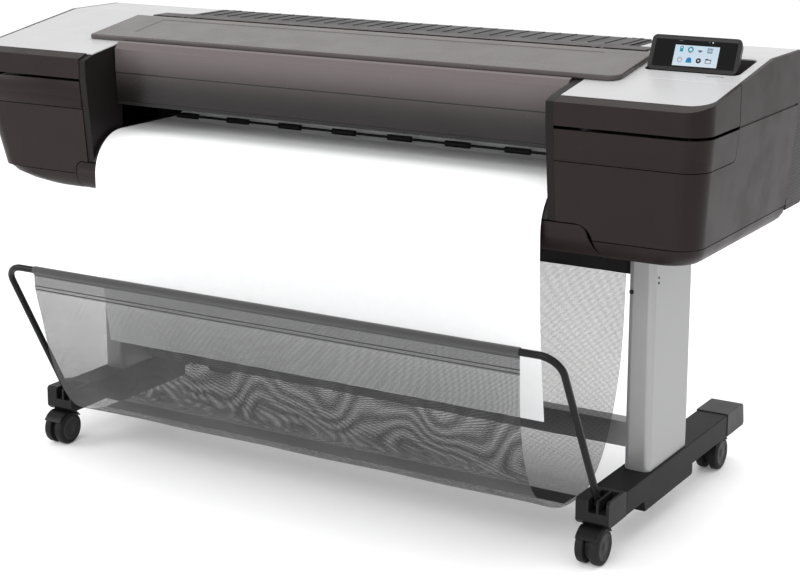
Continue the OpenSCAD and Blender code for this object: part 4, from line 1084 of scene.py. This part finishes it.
window_front = window_low.y
step_z = window_low.z + 73 * mm
x0, x1 = -inner["left"] + cheek_t + 3 * mm, inner["right"] - cheek_t - 3 * mm
upper_line = [(window_front + 0.8 * mm, step_z + 0.6 * mm), (window_front, step_z + 2 * mm),
              (window_front, window_high.z - 16 * mm), (window_front + 11 * mm, window_high.z - 3 * mm),
              (window_front + 21 * mm, window_high.z - 0.2 * mm)]
lower_line = [(window_front + 4 * mm, window_low.z + 9 * mm), (window_front + 1.2 * mm, step_z - 1.6 * mm),
              (window_front + 2.2 * mm, step_z - 0.6 * mm)]
for name, line in (("window_upper_panel", upper_line), ("window_lower_panel", lower_line)):
    panel = bent(name, line, x0, x1, 3.2 * mm)
    soften(panel, 0.7 * mm, 3, 20)
    dress(panel, window_brown, "window", ["window"] if "upper" in name else ())
core = cube("window_step_strip", (x0 + mm, window_front + 1.5 * mm, step_z - 3 * mm),
            (x1 - mm, window_front + 4 * mm, step_z + 4 * mm))
soften(core, 0.5 * mm)
lip = cube("window_lower_lip", (x0, window_front + 3.4 * mm, window_low.z + 0.3 * mm),
           (x1, window_front + 8 * mm, window_low.z + 8.6 * mm))
soften(lip, mm, 3)
for strip in (core, lip):
    dress(strip, lip_black, "window")

# ---- Top lid ----
# The long glossy brown lid over the print path. It overlaps the white decks with a rounded lip
# in front, a shallow rectangle is sunk in its top, and two ears reach back to its hinge pins.
lid_brown = moulded("lid_brown", (0.052, 0.042, 0.042), (0.068, 0.056, 0.056), 0.22, 0.0, sheen=0.4)
lid_low, lid_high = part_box("top_lid")
lid_t = 11 * mm
lid_axis = way("lid_hinge")
lid_back = lid_axis.y - 10 * mm
lid = cube("top_lid_panel", (lid_low.x, lid_low.y, deck_z), (lid_high.x, lid_back, deck_z + lid_t))
pick(lid, "EDGE", lambda e: upright_edges(e) and middle(e).x > 0 and middle(e).y < lid_low.y + mm)
bpy.ops.mesh.bevel(offset=26 * mm, segments=10)
pick(lid, "EDGE", lambda e: upright_edges(e) and middle(e).x < 0)
bpy.ops.mesh.bevel(offset=3 * mm, segments=4)
bpy.ops.object.mode_set(mode="OBJECT")
for v in lid.data.vertices:
    v.co.z += deck_at(v.co.y) - deck_z + mm
soften(lid, 2.6 * mm, 4, 40)
sunk_x = 565 * mm
sunk_y = (lid_low.y + 40 * mm, lid_back - 25 * mm)
lid_x = (lid_low.x + lid_high.x) / 2
for x in (lid_x - sunk_x, lid_x + sunk_x):
    cut(lid, (x, 0, 0), (1, 0, 0))
for y in sunk_y:
    cut(lid, (0, y, 0), (0, 1, 0))
pick(lid, "FACE", lambda f: f.normal.z > 0.9 and abs(middle(f).x - lid_x) < sunk_x
     and sunk_y[0] < middle(f).y < sunk_y[1])
bpy.ops.mesh.inset(thickness=1.6 * mm)
move((0, 0, -0.9 * mm))
soften(lid, 0, angle=25)
dress(lid, lid_brown, "lid", ["top_lid"])
ear_reach = (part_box("cheek_right")[0].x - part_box("cheek_left")[1].x) / 2 - 40 * mm
ear_half = 4 * mm
for sign, side in ((-1, "left"), (1, "right")):
    ear_x = lid_x + sign * ear_reach
    ear = cube("lid_hinge_ear_" + side, (ear_x - ear_half, lid_back - 2 * mm, lid_axis.z - ear_half),
               (ear_x + ear_half, lid_axis.y + ear_half, lid_axis.z + ear_half))
    pick(ear, "EDGE", lambda e: middle(e).y > lid_axis.y and span(e, "x") > mm)
    bpy.ops.mesh.bevel(offset=3 * mm, segments=5)
    soften(ear, 0.6 * mm)
    dress(ear, lid_brown, "lid")

# ---- Bridge and loading table ----
# The bridge is the fixed strip that carries the lid's hinges. Behind it a black ribbed table
# takes the leading edge of the roll, with a thumb notch at the middle of its front edge.
table_black = moulded("table_black", (0.010, 0.0092, 0.0092), (0.018, 0.0165, 0.0165), 0.36, sheen=0.12)
softened("top_bridge", "top_bridge_strip", 1.5 * mm, body_brown)
softened("loading_table", "loading_table_ribs", 0.9 * mm, table_black, "table")

# ---- Rear covers ----
# The roll compartment stands behind the body: a plain cover at the top, and below it a cover
# with rows of small vent holes, through which the power inlet comes out.
def perforated(name, colour, light, pitch, hole):
    """Moulded plastic with a staggered field of small round holes, made as dimples of the bump with painted
    shade near black in each.
    """
    f = Finish(name)
    up = f.axis("Z") * (1 / pitch)
    row = (up * 0.5).part() > 0.5
    along = (f.axis("X") + f.axis("Y")) * (1 / pitch) + row * 0.5
    u, v = along.part() - 0.5, up.part() - 0.5
    away = (u * u + v * v).root()
    field = (f.axis("Z") > rear_low.z + 30 * mm) * (f.axis("Z") < rear_high.z - 12 * mm)
    # Painted shade: each hole is coloured near black, as the dark inside of a real hole would look.
    dark = (away < hole) * field
    plastic = f.mix(f.noise(5.0, 3.0), rgb(*colour), rgb(*light))
    return f.shader(
        Base_Color=f.mix(dark, plastic, rgb(0.003, 0.003, 0.003)),
        Roughness=f.noise(14.0, 3.0) * 0.08 + 0.36,
        Specular_IOR_Level=0.2,
        Normal=f.bump(f.ramp(away, hole - 0.08, hole + 0.08), 0.0008, 0.8),
    )


rear_low, rear_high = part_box("rear_cover")
vented = perforated("vented_brown", (0.012, 0.0085, 0.0088), (0.017, 0.0120, 0.0124), 7 * mm, 0.3)
softened("rear_top_cover", "roll_compartment_cover", 2.5 * mm, body_brown)
softened("rear_cover", "roll_compartment_vents", 2.0 * mm, vented)

# ---- Print engine ----
# Two plated side plates and a folded beam carry the chromed rod. The carriage with its two heads
# runs on the rod and is drawn by a toothed belt. The rubber-coated feed roller lies below.
chrome = painted("chromed_rod", (0.62, 0.62, 0.63), (0.72, 0.72, 0.73), 0.14, metallic=1.0)
carriage_plastic = moulded("carriage_plastic", (0.016, 0.015, 0.015), (0.028, 0.026, 0.026), 0.35)
belt_rubber = moulded("belt_rubber", (0.009, 0.009, 0.009), (0.015, 0.015, 0.015), 0.6)
roller_rubber = moulded("roller_rubber", (0.022, 0.022, 0.022), (0.034, 0.034, 0.034), 0.62,
                        0.00008, 2200.0)
for node, name, width, material, body, slot in (
        ("frame_plates", "engine_side_plates", 0.5, plated, "root", "sheet_steel"),
        ("chassis_beam", "engine_beam", 0.8, inner_black, "root", "sheet_steel"),
        ("slider_rail", "carriage_rod", 0.6, chrome, "root", "rail_chrome"),
        ("carriage", "carriage_shell", 2.0, carriage_plastic, "carriage", "carriage_plastic"),
        ("print_heads", "print_head_pair", 1.0, cartridge_black, "carriage", "cartridge_black"),
        ("drive_belt", "carriage_belt", 0.2, belt_rubber, "root", "belt_rubber"),
        ("carriage_motor", "carriage_motor_and_pulleys", 0.5, plated, "root", "sheet_steel"),
        ("platen", "platen_ribs", 0.5, inner_black, "root", "inner_black"),
        ("drive_roller", "feed_roller_rubber", 0.6, roller_rubber, "feed_roller", "roller_rubber"),
        ("pinch_rollers", "pinch_roller_row", 0.6, inner_black, "pinch_shaft", "inner_black"),
        ("service_station", "head_service_station", 1.2, inner_black, "root", "inner_black"),
        ("power_unit", "power_supply_can", 1.0, plated, "root", "sheet_steel")):
    softened(node, name, width * mm, material, body)

# ---- Touch panel ----
# A small screen in a black moulded case that leans back in its tray and tilts on two knuckles.
# The glass covers the case's front, and the lit part shows two rows of plain symbols.
bezel_black = moulded("bezel_black", (0.013, 0.0125, 0.0125), (0.022, 0.021, 0.021), 0.30)
lean = math.radians(25.5)
touch_h = 74 * mm
touch_lift = 4 * mm
glass_in = 9 * mm
front = -12 * mm


def leaned(piece):
    """Turns a piece that was made upright at the origin, and sets it on the panel's hinge."""
    pick(piece, "VERT", lambda v: True)
    bpy.ops.transform.rotate(value=lean, orient_axis="X", center_override=(0, 0, 0))
    move((touch_mid_x, tilt_at.y, tilt_at.z))
    alone(piece)


case = cube("touch_panel_case", (-touch_w / 2, front, touch_lift),
            (touch_w / 2, 10 * mm, touch_lift + touch_h))
pick(case, "EDGE", lambda e: span(e, "y") > mm)
bpy.ops.mesh.bevel(offset=11 * mm, segments=8)
pick(case, "FACE", lambda f: f.normal.y > 0.9)
bpy.ops.transform.resize(value=(0.95, 1, 0.90), center_override=(0, 0, touch_lift + touch_h / 2))
pick(case, "FACE", lambda f: f.normal.y < -0.9)
bpy.ops.mesh.inset(thickness=glass_in - 2 * mm)
bpy.ops.mesh.inset(thickness=2 * mm)
move((0, 1.6 * mm, 0))
soften(case, 1.8 * mm, 4, 50)
leaned(case)
dress(case, bezel_black, "touch", ["touch_panel"])
for sign, side in ((-1, "left"), (1, "right")):
    half = 16 * mm
    knuckle_line = [(-half, 0.0), (-half, 6 * mm), (mm - half, 7 * mm),
                    (half - mm, 7 * mm), (half, 6 * mm), (half, 0.0)]
    knuckle = spun("touch_panel_knuckle_" + side, knuckle_line,
                   (touch_mid_x + sign * 66 * mm, tilt_at.y, tilt_at.z))
    soften(knuckle, 0)
    dress(knuckle, bezel_black, "touch")


def screen_face(name):
    """Black glass with a lit picture: a pale ground, eight plain symbols and two status dots."""
    f = Finish(name)
    x = (f.axis("X") - touch_mid_x) * (1 / mm)
    climb = (f.axis("Y") - tilt_at.y) * math.sin(lean) + (f.axis("Z") - tilt_at.z) * math.cos(lean)
    z = climb * (1 / mm)

    def away(px, pz):
        u, v = x - px, z - pz
        return (u * u + v * v).root()

    def box(px, pz, half_w, half_h):
        return ((x - px).size() < half_w) * ((z - pz).size() < half_h)

    black, ground = (0.002, 0.002, 0.002), (0.74, 0.85, 0.95)
    teal, blue, amber = (0.02, 0.33, 0.42), (0.02, 0.24, 0.62), (0.80, 0.30, 0.06)
    grey, dark = (0.26, 0.32, 0.42), (0.03, 0.035, 0.05)
    pale = f.mix(z * 0.02, rgb(0.80, 0.88, 0.95), rgb(0.66, 0.82, 0.95))
    colour = f.mix(box(4, 39, 46, 23.5), rgb(*black), pale)
    upper, lower, status = 49.5, 28, 66.5
    column = (-28, -9, 11, 31)
    for shape, tone in (
            # The upper row: a bottle, a ring over a dash, a bowl with a drop, and a lined page.
            (box(column[0], upper + 0.5, 3.4, 5.6), teal), (box(column[0], upper + 3.3, 1.6, 1.2), ground),
            (away(column[1], upper) < 6.0, teal), (away(column[1], upper) < 3.2, ground),
            (box(column[1], upper - 6.3, 2.2, 0.7), amber),
            (away(column[2], upper) < 4.8, grey), (box(column[2], upper + 3.5, 6.0, 3.2), ground),
            (away(column[2], upper - 2.3) < 1.6, dark),
            (box(column[3], upper, 5.4, 5.2), grey), (box(column[3], upper + 1.8, 4.0, 0.6), ground),
            (box(column[3], upper - 1.5, 4.0, 0.6), ground),
            # The lower row: a clock, a bell, a wheel and a folder.
            (away(column[0], lower) < 5.4, grey), (away(column[0], lower) < 4.0, ground),
            (box(column[0], lower + 1.2, 2.6, 0.7), amber),
            (away(column[1], lower) < 5.6, blue), (box(column[1], lower - 4.0, 6.4, 1.4), teal),
            (away(column[2], lower) < 5.4, dark), (away(column[2], lower) < 1.8, ground),
            (box(column[3], lower - 0.5, 6.0, 4.4), dark), (box(column[3], lower - 1.0, 4.8, 2.9), ground),
            (box(column[3] - 3.4, lower + 4.4, 2.4, 0.8), dark),
            # The dark edge above the picture, with two status dots and a dash.
            (box(4, 61.5, 46, 3.4), black), (away(34, status) < 1.5, (0.75, 0.80, 0.85)),
            (away(27, status) < 1.0, (0.25, 0.28, 0.32)), (box(-32, status, 4.0, 0.5), (0.16, 0.18, 0.22))):
        colour = f.mix(shape, colour, rgb(*tone))
    return f.shader(
        Base_Color=rgb(0.003, 0.003, 0.003),
        Roughness=f.noise(30.0, 3.0) * 0.05 + 0.05,
        Emission_Color=colour,
        Emission_Strength=0.85,
        Specular_IOR_Level=0.12,
    )


glass_edge = glass_in + 0.3 * mm
glass = cube("touch_panel_glass", (glass_edge - touch_w / 2, front + 0.1 * mm, touch_lift + glass_edge),
             (touch_w / 2 - glass_edge, front + 1.5 * mm, touch_lift + touch_h - glass_edge))
pick(glass, "EDGE", lambda e: span(e, "y") > 0.5 * mm)
bpy.ops.mesh.bevel(offset=2.4 * mm, segments=6)
soften(glass, 0.3 * mm, 2)
leaned(glass)
dress(glass, screen_face("touch_screen"), "touch", ["touch_glass"])

# ---- Power key ----
# A slim silver key with round ends, sunk almost flush in the right deck.
key_silver = painted("key_silver", (0.36, 0.36, 0.37), (0.46, 0.46, 0.47), 0.28, metallic=0.7)
softened("power_key", "power_key_cap", 0.6 * mm, key_silver, "key")

# ---- Sizes ----
# The box round every rendered piece of the dressed machine, apart from the floor.
low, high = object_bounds()
